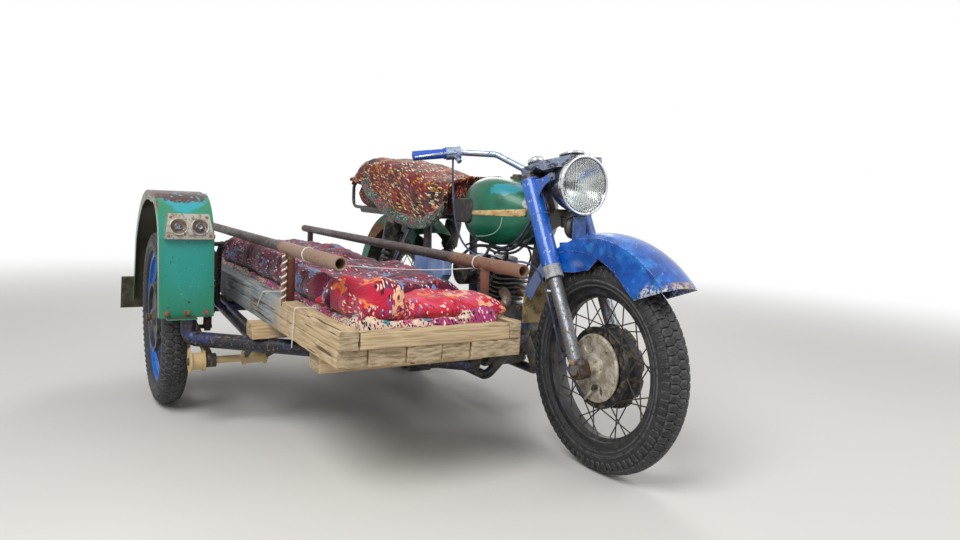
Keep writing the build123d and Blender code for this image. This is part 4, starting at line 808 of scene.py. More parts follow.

# Enamel brushed on over old paint: glossy, chipped white and rusty along its edges. Its darker and lighter
# clouds are partly uneven brushing and partly painted shade and highlight.
GUARD_BLUE = Finish(
    "brushed_blue_enamel", "#085ab8", roughness=0.3, gloss=0.45, grain_mm=30, grain_height_mm=0.25,
    coats=(
        # Darker and lighter clouds: uneven brushing, partly painted shade and highlight.
        Coat("#0b3a86", size_mm=70, level=0.5, soft=0.12, strength=0.75, seed=2.0),
        Coat("#2f90e4", size_mm=40, level=0.57, soft=0.1, strength=0.55, seed=5.0),
        # Grey-blue patches behind the fork legs and on the bridge: duller paint with white chips, its grey
        # partly painted shade.
        Coat("#6f7ca6", level=None, size_mm=60, centre=(1095, 0, 600), half=(118, 90, 150), soft=0.15,
             ragged=0.3, roughness=0.6),
        Coat("#7f89ad", level=None, size_mm=30, centre=(1318, 0, 632), half=(112, 62.8, 36), soft=0.08,
             ragged=0.1, roughness=0.6),
        Coat("#c5a780", level=0.5, size_mm=14, centre=(1678, 10, 604), half=(26, 76, 17), ragged=0.9,
             roughness=0.75, sink_mm=0.2),
        Coat("#6a4a36", level=0.57, size_mm=9, centre=(1680, 0, 603), half=(26, 80, 22), ragged=0.8,
             roughness=0.85, sink_mm=0.2),
        Coat("#dfe3ea", level=0.5, size_mm=7, edge_mm=1.6, roughness=0.6, sink_mm=0.1),
        Coat("#d5dae4", level=0.7, size_mm=6, roughness=0.6, sink_mm=0.1, seed=8.0),
        Coat("#3a3d40", level=0.5, size_mm=20, inner_of=(1400, 0, 322.5), soft=0.3, roughness=0.9),
    ),
)
# Enamel sprayed over steel tube: evener than the guard's, flecked down to the primer.
FORK_BLUE = Finish(
    "sprayed_blue_enamel", "#0e5fc2", roughness=0.34, gloss=0.4, grain_mm=12, grain_height_mm=0.08,
    coats=(
        Coat("#12479a", size_mm=60, level=0.55, soft=0.12, strength=0.7, seed=4.0),
        Coat("#c3c8d2", level=0.645, size_mm=10, soft=0.02, roughness=0.6, sink_mm=0.12, seed=2.5,
             stretch=(1, 1, 0.6)),
        Coat("#5c4030", level=0.65, size_mm=7, soft=0.02, roughness=0.85, sink_mm=0.2, seed=6.0,
             stretch=(1, 1, 0.6)),
        Coat("#c9ced6", level=0.47, size_mm=8, edge_mm=1.5, roughness=0.6, sink_mm=0.1),
    ),
)
# Sheet steel whose grey-blue paint has rubbed off to dark primer.
NACELLE_GREY = Finish(
    "rubbed_grey_paint", "#79849a", roughness=0.45, metallic=0.25, grain_mm=8, grain_height_mm=0.3,
    coats=(
        Coat("#343a46", size_mm=26, level=0.52, soft=0.04, stretch=(0.5, 1.4, 1.4), roughness=0.7,
             sink_mm=0.2),
        Coat("#aab2c0", size_mm=9, level=0.6, soft=0.04, stretch=(0.5, 1.4, 1.4), metallic=0.6,
             roughness=0.35, seed=3.0),
        Coat("#b7bdc7", level=0.45, size_mm=10, edge_mm=2.5, metallic=0.7, roughness=0.35),
        Coat("#6b4a35", size_mm=6, level=0.69, roughness=0.85, seed=9.0),
    ),
)
# Black enamel of the lamp bowl, scratched to steel.
LAMP_DARK = Finish(
    "scratched_black_enamel", "#23262c", roughness=0.4, gloss=0.2,
    coats=(
        Coat("#8a8f98", size_mm=18, level=0.6, soft=0.03, stretch=(0.4, 1.5, 1.5), metallic=0.7,
             roughness=0.4),
        Coat("#a9aeb6", level=0.45, size_mm=7, edge_mm=2.0, metallic=0.8, roughness=0.35),
    ),
)
# Turned steel plated with chromium, dulled and pitted.
RING_CHROME = Finish(
    "dulled_chrome", "#c9ccd1", roughness=0.16, metallic=1.0, grain_height_mm=0.02,
    coats=(
        Coat("#8b8172", size_mm=9, level=0.6, soft=0.06, roughness=0.5, metallic=0.7),
        Coat("#5b4636", size_mm=3, level=0.7, soft=0.02, roughness=0.85, metallic=0.0, seed=4.0),
    ),
)
# Polished and ground slider tubes, flecked with rust where the plating has gone.
SLIDER_STEEL = Finish(
    "flecked_steel", "#8f959d", roughness=0.38, metallic=0.75, grain_mm=3, grain_height_mm=0.08,
    coats=(
        Coat("#7d6a58", size_mm=7, level=0.56, soft=0.05, roughness=0.7, metallic=0.2, seed=2.0),
        Coat("#4d3a2e", size_mm=4, level=0.61, soft=0.03, roughness=0.85, metallic=0.0, sink_mm=0.1,
             seed=7.0),
        Coat("#4a3529", level=None, size_mm=14, centre=(1392, 0, 316), half=(46, 160, 44), ragged=0.4,
             soft=0.15, roughness=0.8, metallic=0.2),
        Coat("#b08a63", level=None, size_mm=10, centre=(1372, 0, 340), half=(26, 160, 10), ragged=0.2,
             roughness=0.7, metallic=0.1),
    ),
)
# Thin whitewash-like paint over the clamp collars.
COLLAR_PAINT = Finish(
    "chalky_collar_paint", "#b4b6b4", roughness=0.6, grain_mm=4, grain_height_mm=0.15,
    coats=(
        Coat("#8c929b", size_mm=16, level=0.5, soft=0.1, metallic=0.3, roughness=0.5),
        Coat("#7a5c40", size_mm=6, level=0.63, soft=0.03, roughness=0.85, sink_mm=0.1),
    ),
)
# Die-cast alloy gone dull and cream-grey with brake dust and oxide, and darker in one patch low at its
# front.
CAST_ALLOY = Finish(
    "dull_cast_alloy", "#c4bdae", roughness=0.42, metallic=0.45, grain_mm=2.5, grain_height_mm=0.18,
    coats=(
        Coat("#8f8574", size_mm=24, level=0.5, soft=0.1, roughness=0.65, metallic=0.3),
        Coat("#5a4a3a", size_mm=9, level=0.64, soft=0.05, roughness=0.85, metallic=0.0, seed=3.0),
        # One dark brown patch low at the front of the plate.
        Coat("#3b302a", level=None, size_mm=18, centre=(1440, -80, 262), half=(32, 40, 34), ragged=0.5,
             roughness=0.85, metallic=0.0),
    ),
)
# The engine: sand-cast alloy under years of oil and road dust.
ENGINE_ALLOY = Finish(
    "oily_engine_alloy", "#4b4a48", roughness=0.5, metallic=0.35, grain_mm=4, grain_height_mm=0.3,
    coats=(
        Coat("#1b1a1b", size_mm=42, level=0.46, soft=0.1, roughness=0.45, metallic=0.1),
        Coat("#6e5c48", size_mm=18, level=0.57, soft=0.06, roughness=0.9, metallic=0.0, seed=4.0),
        Coat("#8d9198", level=0.5, size_mm=9, edge_mm=2.0, metallic=0.7, roughness=0.4),
    ),
)
# Chromium plate that has begun to pit: it mirrors what is round it, its blue tint and blue clouds are a
# painted reflection of the sky, and it has rust-brown pinholes.
SKY_PAINTED_CHROME = Finish(
    "pitted_chrome", "#a7b4c9", roughness=0.24, metallic=0.9, grain_height_mm=0.03,
    coats=(
        # Blue clouds: painted reflection of the sky.
        Coat("#5f7fb4", size_mm=50, level=0.52, soft=0.12, strength=0.6, roughness=0.35, metallic=0.6),
        Coat("#33302f", size_mm=11, level=0.63, soft=0.03, roughness=0.7, metallic=0.2, seed=5.0),
        Coat("#7a5038", size_mm=6, level=0.67, soft=0.03, roughness=0.85, metallic=0.0, seed=2.0),
    ),
)
# Plain steel browned by heat: brown clouds under a thin dull sheen.
EXHAUST_STEEL = Finish(
    "heat_stained_steel", "#8a7f72", roughness=0.42, metallic=0.7, grain_height_mm=0.06,
    coats=(
        Coat("#4c3a2e", size_mm=40, level=0.5, soft=0.1, roughness=0.75, metallic=0.2),
        Coat("#7a4a2c", size_mm=12, level=0.58, soft=0.05, roughness=0.9, metallic=0.0, seed=3.0),
    ),
)
# Zinc-plated steel gone dull: soft even grey with a few brown specks.
PLAIN_STEEL = Finish(
    "dull_zinc_steel", "#8d8d8a", roughness=0.45, metallic=0.8,
    coats=(Coat("#5e4433", size_mm=5, level=0.58, soft=0.05, roughness=0.85, metallic=0.0),),
)
# Bolts rusted all over: matt orange-brown with darker pits.
RUSTY_BOLT = Finish(
    "rusted_bolt_steel", "#7c4a35", roughness=0.8, metallic=0.1, grain_mm=1.5, grain_height_mm=0.15,
    coats=(
        Coat("#a8705a", size_mm=5, level=0.52, soft=0.06, roughness=0.85),
        Coat("#3b2a24", size_mm=3, level=0.62, soft=0.04, roughness=0.9, seed=2.0),
    ),
)
# Motorcycle frame: blue-black paint, oily and rusting.
FRAME_PAINT = Finish(
    "oily_black_enamel", "#20242c", roughness=0.42, gloss=0.15, grain_mm=4, grain_height_mm=0.12,
    coats=(
        Coat("#12305e", size_mm=60, level=0.58, soft=0.04, roughness=0.45),
        Coat("#5b4434", size_mm=16, level=0.59, soft=0.04, roughness=0.85, sink_mm=0.1, seed=3.0),
        DUST,
    ),
)
# Sidecar tubes: blue paint left in patches between bare rust and road dirt.
CHASSIS_PAINT = Finish(
    "flaking_blue_chassis_paint", "#191d27", roughness=0.36, metallic=0.2, grain_mm=5, grain_height_mm=0.2,
    coats=(
        Coat("#1f2f5e", size_mm=75, level=0.56, soft=0.05, roughness=0.4, stretch=(0.6, 1, 1), seed=1.5),
        Coat("#39436a", size_mm=34, level=0.64, soft=0.05, roughness=0.5, seed=6.0),
        Coat("#4a352b", size_mm=30, level=0.61, soft=0.05, roughness=0.85, metallic=0.0, sink_mm=0.15,
             seed=3.0),
        Coat("#8a6a4e", size_mm=9, level=0.62, soft=0.04, roughness=0.9, metallic=0.0, seed=8.0),
        Coat("#c0a87c", level=None, size_mm=12, centre=(565, -1032, 238), half=(50, 44, 50), ragged=0.25,
             roughness=0.8, metallic=0.0),
        Coat("#c0a87c", level=None, size_mm=12, centre=(565, -845, 238), half=(42, 62, 38), ragged=0.25,
             roughness=0.8, metallic=0.0),
    ),
)
# Bare steel under road mud: dark, matt and brown in its hollows.
ARM_STEEL = Finish(
    "muddy_dark_steel", "#33302e", roughness=0.7, metallic=0.2, grain_mm=5, grain_height_mm=0.2,
    coats=(
        Coat("#6b5a45", size_mm=26, level=0.52, soft=0.08, roughness=0.9, metallic=0.0),
        Coat("#c0a87c", level=None, size_mm=12, centre=(565, -930, 238), half=(40, 50, 40), ragged=0.3,
             roughness=0.85, metallic=0.0),
    ),
)
# Old maroon paint on the spring damper, faded and chalky, with a bright cap.
SHOCK_MAROON = Finish(
    "faded_maroon_paint", "#55302f", roughness=0.5, grain_mm=3, grain_height_mm=0.1,
    coats=(
        Coat("#2c2423", size_mm=22, level=0.52, soft=0.08, roughness=0.6),
        Coat("#8a6a58", size_mm=8, level=0.62, soft=0.04, roughness=0.85),
        Coat("#b9c0d6", level=None, centre=(292, -940, 641), half=(19, 19, 17), ragged=0.05, metallic=1.0,
             roughness=0.18),
    ),
)
# Satin black enamel on small steel parts: an even soft shine under dust.
BLACK_STEEL = Finish(
    "satin_black_enamel", "#1c1c1e", roughness=0.42, grain_height_mm=0.08,
    coats=(
        Coat("#6b655c", size_mm=9, level=0.6, soft=0.05, roughness=0.7, metallic=0.2),
        DUST,
    ),
)
# Enamel brushed on a pressed tank: deep green in long clouds, with turquoise patches on top.
TANK_GREEN = Finish(
    "brushed_green_enamel", "#035f44", roughness=0.44, gloss=0.16, grain_mm=40, grain_height_mm=0.35,
    coats=(
        Coat("#034b38", size_mm=110, level=0.52, soft=0.14, strength=0.8, seed=2.0),
        Coat("#128f69", size_mm=90, level=0.6, soft=0.14, strength=0.35, seed=6.0),
        *[Coat("#1c8f9e", level=None, size_mm=30, centre=(958, side * 95, 854), half=(58, 70, 19),
               ragged=1.1, soft=0.16, roughness=0.35) for side in SIDES],
        Coat("#b9bdb6", level=0.45, size_mm=14, centre=(1035, -52, 812), half=(20, 30, 26), ragged=0.6,
             roughness=0.5, sink_mm=0.1),
        Coat("#2a2a26", size_mm=5, level=0.71, soft=0.015, roughness=0.8, sink_mm=0.1, seed=4.0),
    ),
)
# Cream line paint, yellowed by the sun and worn along its length.
CREAM_STRIP = Finish(
    "yellowed_cream_paint", "#d9bd8a", roughness=0.45, grain_mm=4, grain_height_mm=0.1,
    coats=(
        Coat("#b98f52", size_mm=26, level=0.54, soft=0.08, stretch=(0.35, 1, 1.5), strength=0.8),
        Coat("#4f4a3a", size_mm=9, level=0.64, soft=0.03, roughness=0.8, seed=3.0),
    ),
)
# The thin line drawn with a brush: pale and half matt.
PALE_LINE = Finish("pale_green_line_paint", "#a9c4b4", roughness=0.45)
# Pale blue enamel on pressed sheet: chalky, chipped dark, rusty at its edges.
PANEL_BLUE = Finish(
    "pale_blue_enamel", "#8ea6d6", roughness=0.45, grain_mm=5, grain_height_mm=0.1,
    coats=(
        Coat("#6d84b8", size_mm=50, level=0.54, soft=0.1),
        Coat("#3d3c3d", size_mm=9, level=0.64, soft=0.03, roughness=0.8, sink_mm=0.1),
        Coat("#4a3a31", level=0.5, size_mm=8, edge_mm=2.0, roughness=0.85),
    ),
)
# Green enamel over rust: brown along the crown, muddy inside.
REAR_GUARD_PAINT = Finish(
    "green_over_rust", "#1f6b56", roughness=0.5, grain_mm=5, grain_height_mm=0.15,
    coats=(
        Coat("#6a4a32", level=None, size_mm=40, centre=(-180, 0, 610), half=(210, 120, 100), ragged=0.35,
             soft=0.1, roughness=0.8, metallic=0.0),
        Coat("#a9793f", size_mm=14, level=0.58, centre=(-180, 0, 620), half=(210, 120, 100),
             roughness=0.85),
        Coat("#2b2a28", size_mm=9, level=0.62, soft=0.03, roughness=0.8, seed=5.0),
        Coat("#3b352c", level=0.4, size_mm=30, inner_of=AXLE_REAR, soft=0.2, roughness=0.95),
    ),
)
# The sidecar guard: green enamel, turquoise over the front that grows lighter towards the top, rust along
# the top edges.
SIDECAR_GREEN = Finish(
    "green_and_turquoise_enamel", "#1b7d5c", roughness=0.4, gloss=0.3, grain_mm=9, grain_height_mm=0.15,
    coats=(
        Coat("#3f7258", size_mm=50, level=0.57, soft=0.08, strength=0.6, roughness=0.6, seed=5.0),
        Coat("#0c7f63", level=None, size_mm=40, centre=(545, -1054, 470), half=(90, 92, 200), ragged=0.08,
             soft=0.05),
        Coat("#0f8a80", level=None, size_mm=60, centre=(560, -1054, 600), half=(115, 96, 170), ragged=0.25,
             soft=0.3),
        Coat("#1b97a2", level=None, size_mm=40, centre=(420, -1050, 770), half=(110, 66, 48), ragged=0.3,
             soft=0.1),
        Coat("#4fa593", level=0.67, size_mm=9, centre=(512, -1054, 540), half=(60, 84, 120), soft=0.03,
             seed=2.0),
        Coat("#4a2f2c", level=0.42, size_mm=26, centre=(380, -1054, 790), half=(250, 110, 34), ragged=0.7,
             roughness=0.85, sink_mm=0.2),
        Coat("#6a4438", level=0.47, size_mm=14, centre=(250, -1142, 760), half=(300, 12, 60), ragged=0.8,
             roughness=0.85, sink_mm=0.2, seed=3.0),
        Coat("#1d2a2b", size_mm=12, level=0.665, soft=0.015, roughness=0.7, sink_mm=0.2, seed=7.0,
             stretch=(1, 1.6, 0.8)),
        Coat("#1d2a2b", level=0.49, size_mm=11, edge_mm=2.0, roughness=0.8, sink_mm=0.2),
        Coat("#3d3829", level=0.2, size_mm=30, inner_of=(160, -1054, 400), soft=0.2, roughness=0.95),
    ),
)
# Cast lamp plate of alloy, rubbed and stained: warm grey with brown specks.
PLATE_ALLOY = Finish(
    "worn_lamp_alloy", "#aba69c", roughness=0.42, metallic=0.6, grain_mm=3, grain_height_mm=0.1,
    coats=(
        Coat("#7d756a", size_mm=14, level=0.56, soft=0.06, roughness=0.6, metallic=0.3),
        Coat("#4a3c34", size_mm=5, level=0.64, soft=0.03, roughness=0.85, metallic=0.0),
        Coat("#31508c", level=0.5, size_mm=9, centre=(528, -1016, 668), half=(30, 26, 12), roughness=0.6,
             metallic=0.0),
    ),
)
# Water pipe left in the rain: dark and rough, browner on the sleeves.
RAIL_RUST = Finish(
    "rusty_water_pipe", "#4a4240", roughness=0.62, metallic=0.2, grain_mm=2.5, grain_height_mm=0.15,
    coats=(
        Coat("#5d5c61", size_mm=60, level=0.5, soft=0.1, stretch=(0.4, 1, 1), roughness=0.5),
        Coat("#6d4a3a", size_mm=14, level=0.55, soft=0.06, roughness=0.9, metallic=0.0, seed=3.0),
        Coat("#8f7565", level=None, size_mm=30, centre=(1120, -820, 638), half=(334, 60, 46), ragged=0.12,
             soft=0.04, roughness=0.75, metallic=0.0),
        Coat("#80604f", level=None, size_mm=30, centre=(1243, -334, 624), half=(222, 60, 46), ragged=0.12,
             soft=0.04, roughness=0.75, metallic=0.0),
        Coat("#6d4838", level=0.56, size_mm=12, centre=(1150, -570, 636), half=(360, 300, 60), soft=0.06,
             roughness=0.9, seed=5.0),
        Coat("#7a4b3c", level=None, size_mm=16, centre=(888, -820, 545), half=(40, 34, 70), ragged=0.2,
             roughness=0.9, metallic=0.0),
        Coat("#9a6a5c", level=None, size_mm=16, centre=(1223, -334, 540), half=(40, 34, 66), ragged=0.2,
             roughness=0.9, metallic=0.0),
    ),
)
# Moulded rubber, greyed by road dust that stays in its low places.
TYRE_RUBBER = Finish(
    "dusty_tyre_rubber", "#1f1f22", roughness=0.62, specular=0.45, grain_mm=2, grain_height_mm=0.1,
    coats=(
        Coat("#323234", size_mm=40, level=0.5, soft=0.12, roughness=0.6, strength=0.7),
        Coat("#625c52", size_mm=16, level=0.62, soft=0.08, roughness=0.95, strength=0.35, seed=4.0),
        Coat("#666668", level=0.45, size_mm=12, edge_mm=1.2, roughness=0.8, strength=0.6),
    ),
)
# Belting rubber under dust: matt, olive-grey and blotched.
GUARD_RUBBER = Finish(
    "dusty_flap_rubber", "#3c3930", roughness=0.85, specular=0.3,
    coats=(Coat("#6f675a", size_mm=40, level=0.5, soft=0.12, roughness=0.95, strength=0.6),),
)
# Moulded knee pads: black, satin and dusty.
PAD_RUBBER = Finish("black_moulded_rubber", "#1b1a1b", roughness=0.55, grain_height_mm=0.08, coats=(DUST,))
# Tan belting cut for a flap: matt, stained brown.
TAN_RUBBER = Finish(
    "tan_belting_rubber", "#a08a63", roughness=0.8,
    coats=(
        Coat("#6b5a3f", size_mm=30, level=0.54, soft=0.1, roughness=0.9),
        Coat("#3a3128", size_mm=6, level=0.68, soft=0.03, roughness=0.9),
    ),
)
# Moulded blue rubber whose fine ribs break up the shine; drawn coarser, so that they show. Its darker blue
# speckle is painted shade in the ribs.
GRIP_BLUE = Finish(
    "blue_grip_rubber", "#1450be", roughness=0.42, grain_mm=2.4, grain_height_mm=0.5,
    # Darker blue speckle: painted shade in the ribs.
    coats=(Coat("#0c3a92", size_mm=3, level=0.52, soft=0.05, strength=0.7),),
)
# Moulded black plastic: smooth and dusty.
BLACK_PLASTIC = Finish("moulded_black_plastic", "#161616", roughness=0.4, coats=(DUST,))
# Clear red plastic of the tail lamp: deep and glossy.
LAMP_RED = Finish("red_lamp_plastic", "#7c0a0a", roughness=0.15, gloss=0.7)
# Plastic sheath of the leads: black and dull, grey where it is rubbed.
CABLE_BLACK = Finish(
    "dull_cable_sheath", "#202226", roughness=0.55,
    coats=(Coat("#4a4f5c", size_mm=40, level=0.52, soft=0.1, roughness=0.6),),
)
# Plastic sheath of the brake cable: blue-grey, rubbed pale.
CABLE_BLUE = Finish(
    "blue_grey_cable_sheath", "#2a3350", roughness=0.5,
    coats=(Coat("#55607c", size_mm=30, level=0.55, soft=0.1, roughness=0.6),),
)
# Ribbed bar rusted all over: matt red-brown.
REBAR_STEEL = Finish("rusty_rebar", "#7b5648", roughness=0.8, metallic=0.1, grain_height_mm=0.2)
# Tape painted over with whitewash: chalky and matt.
WHITE_TAPE = Finish("whitewash", "#d9d6cf", roughness=0.7)
# Cotton string: white and matt.
STRING = Finish("white_cotton_string", "#d6d4cd", roughness=0.9)


def wheel_finish(name: str, rim: str, spoke: str, hub: str, centre: Point, dirt: float) -> Finish:
    """Describe a spoked wheel: painted rim, zinc spokes and cast hub, each by its distance from the axle.

    Args:
        name: Name of the finish.
        rim: Colour of the rim's paint.
        spoke: Colour of the spokes.
        hub: Colour of the hub.
        centre: Middle of the wheel.
        dirt: Strength of the dust, from 0 to 1.

    Returns:
        The finish of the whole wheel.
    """
    inside_rim, hub_drum = (213, 400, 213), (134, 400, 134)
    coats = (
        Coat("#1d2233", size_mm=30, level=0.6, soft=0.06, roughness=0.5),
        Coat("#6d6a55", size_mm=26, level=0.55, soft=0.1, roughness=0.9, strength=dirt, seed=4.0),
        Coat(spoke, level=None, centre=centre, half=inside_rim, ragged=0.0, soft=0.006, roughness=0.5,
             metallic=0.6),
        Coat("#4d3a2e", level=0.52, size_mm=12, centre=centre, half=inside_rim, ragged=0.0, soft=0.05,
             roughness=0.85, metallic=0.0),
        Coat(hub, level=None, centre=centre, half=hub_drum, ragged=0.0, soft=0.01, roughness=0.5,
             metallic=0.2),
        Coat("#5a4c3c", level=0.56, size_mm=20, centre=centre, half=hub_drum, ragged=0.0, soft=0.06,
             roughness=0.9, metallic=0.0, seed=2.0),
    )
    return Finish(name, rim, roughness=0.4, gloss=0.2, grain_height_mm=0.1, coats=coats)


@dataclass(frozen=True)
class ClearGlass:
    """Moulded lamp glass: clear, with upright flutes that break up what is seen through it."""

    name: str = "fluted_lamp_glass"
    flute_mm: float = 9.0
    flute_height_mm: float = 1.1

    def build(self, shop: Shop) -> Material:
        """Make the glass.

        Args:
            shop: Workshop, unused but the same for every finish.

        Returns:
            The new material.
        """
        material, tree, shader = new_material(self.name)
        where = add_node(tree, "TexCoord", out="Object")
        across = add_node(tree, "SeparateXYZ", {"Vector": where}, out="Y")
        turn = add_node(tree, "Math", {0: across, 1: math.tau / (self.flute_mm * MM)}, operation="MULTIPLY")
        flutes = add_node(tree, "Math", {0: turn}, operation="SINE")
        relief = {"Height": flutes, "Distance": self.flute_height_mm * MM, "Strength": 0.5}
        set_inputs(shader, {"Roughness": 0.02, "Transmission Weight": 1.0, "IOR": 1.5,
                            "Base Color": linear("#f4f6f2"), "Normal": add_node(tree, "Bump", relief)})
        return material


LAMP_GLASS = ClearGlass()
# Silvered steel mirror: bright, with a few cloudy patches where the silver has gone.
REFLECTOR = Finish(
    "silvered_reflector", "#dfe3e8", roughness=0.12, metallic=1.0, grain_mm=14, grain_height_mm=0.35,
    coats=(Coat("#aeb1b4", size_mm=26, level=0.57, soft=0.08, roughness=0.35),),
)


@dataclass(frozen=True)
class WeatheredWood:
    """Sawn softwood out in the weather: grey skin, brown cracks along the grain, dark end grain. Towards
    the rear the grey is partly painted bluish shade.

    The grain follows the board's UV map, whose U runs along the board in metres.
    """

    name: str
    fresh: str
    weathered: str
    crack: str = "#66503c"
    stain: str = "#7c6248"
    # Grey of the rear boards: weathering, darkened bluish as painted shade.
    shade: str = "#808990"
    silver: str = "#a3a6a2"
    end_dark: str = "#8d7a60"
    end_pale: str = "#bba88a"
    ring_mm: float = 7.0
    # Place along the bed behind which the boards turn grey, partly as painted shade.
    grey_and_shade_behind: float = 860.0

    def build(self, shop: Shop) -> Material:
        """Make the wood.

        Args:
            shop: Workshop, for the place where the boards turn grey and the painted shade begins.

        Returns:
            The new material.
        """
        material, tree, shader = new_material(self.name)
        flat = add_node(tree, "UVMap", uv_map="flat")
        where = add_node(tree, "TexCoord", out="Object")
        long_grain = add_node(tree, "Mapping", {"Vector": flat, "Scale": (9, 1000 / self.ring_mm, 1)})
        rings = add_node(tree, "TexNoise",
                         {"Vector": long_grain, "Scale": 1.0, "Detail": 5.0, "Distortion": 0.6})
        fine = add_node(tree, "Mapping", {"Vector": flat, "Scale": (22, 900, 1)})
        fibres = add_node(tree, "TexNoise", {"Vector": fine, "Scale": 1.0, "Detail": 2.0})
        cracks = add_node(tree, "Mapping", {"Vector": flat, "Scale": (3.2, 75, 1), "Location": (4, 9, 0)})
        splits = add_node(tree, "TexNoise", {"Vector": cracks, "Scale": 1.0, "Detail": 3.0})
        blotch = add_node(tree, "TexNoise", {"Vector": where, "Scale": 9.0, "Detail": 4.0})
        bands = add_node(tree, "MapRange", {"Value": rings, 1: 0.38, 2: 0.66},
                         interpolation_type="SMOOTHSTEP")
        # Behind that place the boards turn grey: partly weathering, partly painted bluish shade.
        edge = shop.at(self.grey_and_shade_behind, 0, 0).x
        depth = add_node(tree, "SeparateXYZ", {"Vector": where}, out="X")
        uneven = add_node(tree, "Math", {0: blotch, 1: 0.16, 2: depth}, operation="MULTIPLY_ADD")
        greyed = add_node(tree, "MapRange", {"Value": uneven, 1: edge + 0.13, 2: edge + 0.02})
        grey = laid_over(tree, linear(self.shade), [(bands, linear(self.silver))])
        stained = add_node(tree, "MapRange", {"Value": blotch, 1: 0.56, 2: 0.74, 4: 0.55})
        dark = add_node(tree, "MapRange", {"Value": splits, 1: 0.61, 2: 0.66},
                        interpolation_type="SMOOTHSTEP")
        ends = add_node(tree, "Attribute", out="Fac", attribute_name="end_grain")
        layered = add_node(tree, "Mapping", {"Vector": where, "Scale": (30, 30, 150)})
        end_noise = add_node(tree, "TexNoise", {"Vector": layered, "Scale": 1.0, "Detail": 4.0})
        end_tone = add_node(tree, "MapRange", {"Value": end_noise, 1: 0.38, 2: 0.58})
        end_colour = laid_over(tree, linear(self.end_dark), [(end_tone, linear(self.end_pale))])
        colour = laid_over(tree, linear(self.fresh), [
            (bands, linear(self.weathered)), (greyed, grey), (stained, linear(self.stain)),
            (dark, linear(self.crack)), (ends, end_colour),
        ])
        ridge = add_node(tree, "Math", {0: bands, 1: 0.5, 2: fibres}, operation="MULTIPLY_ADD")
        height = add_node(tree, "Math", {0: dark, 1: -2.5, 2: ridge}, operation="MULTIPLY_ADD")
        bump = add_node(tree, "Bump", {"Height": height, "Distance": 0.7 * MM, "Strength": 1.0})
        set_inputs(shader, {"Base Color": colour, "Roughness": 0.82, "Specular IOR Level": 0.3,
                            "Normal": bump})
        return material


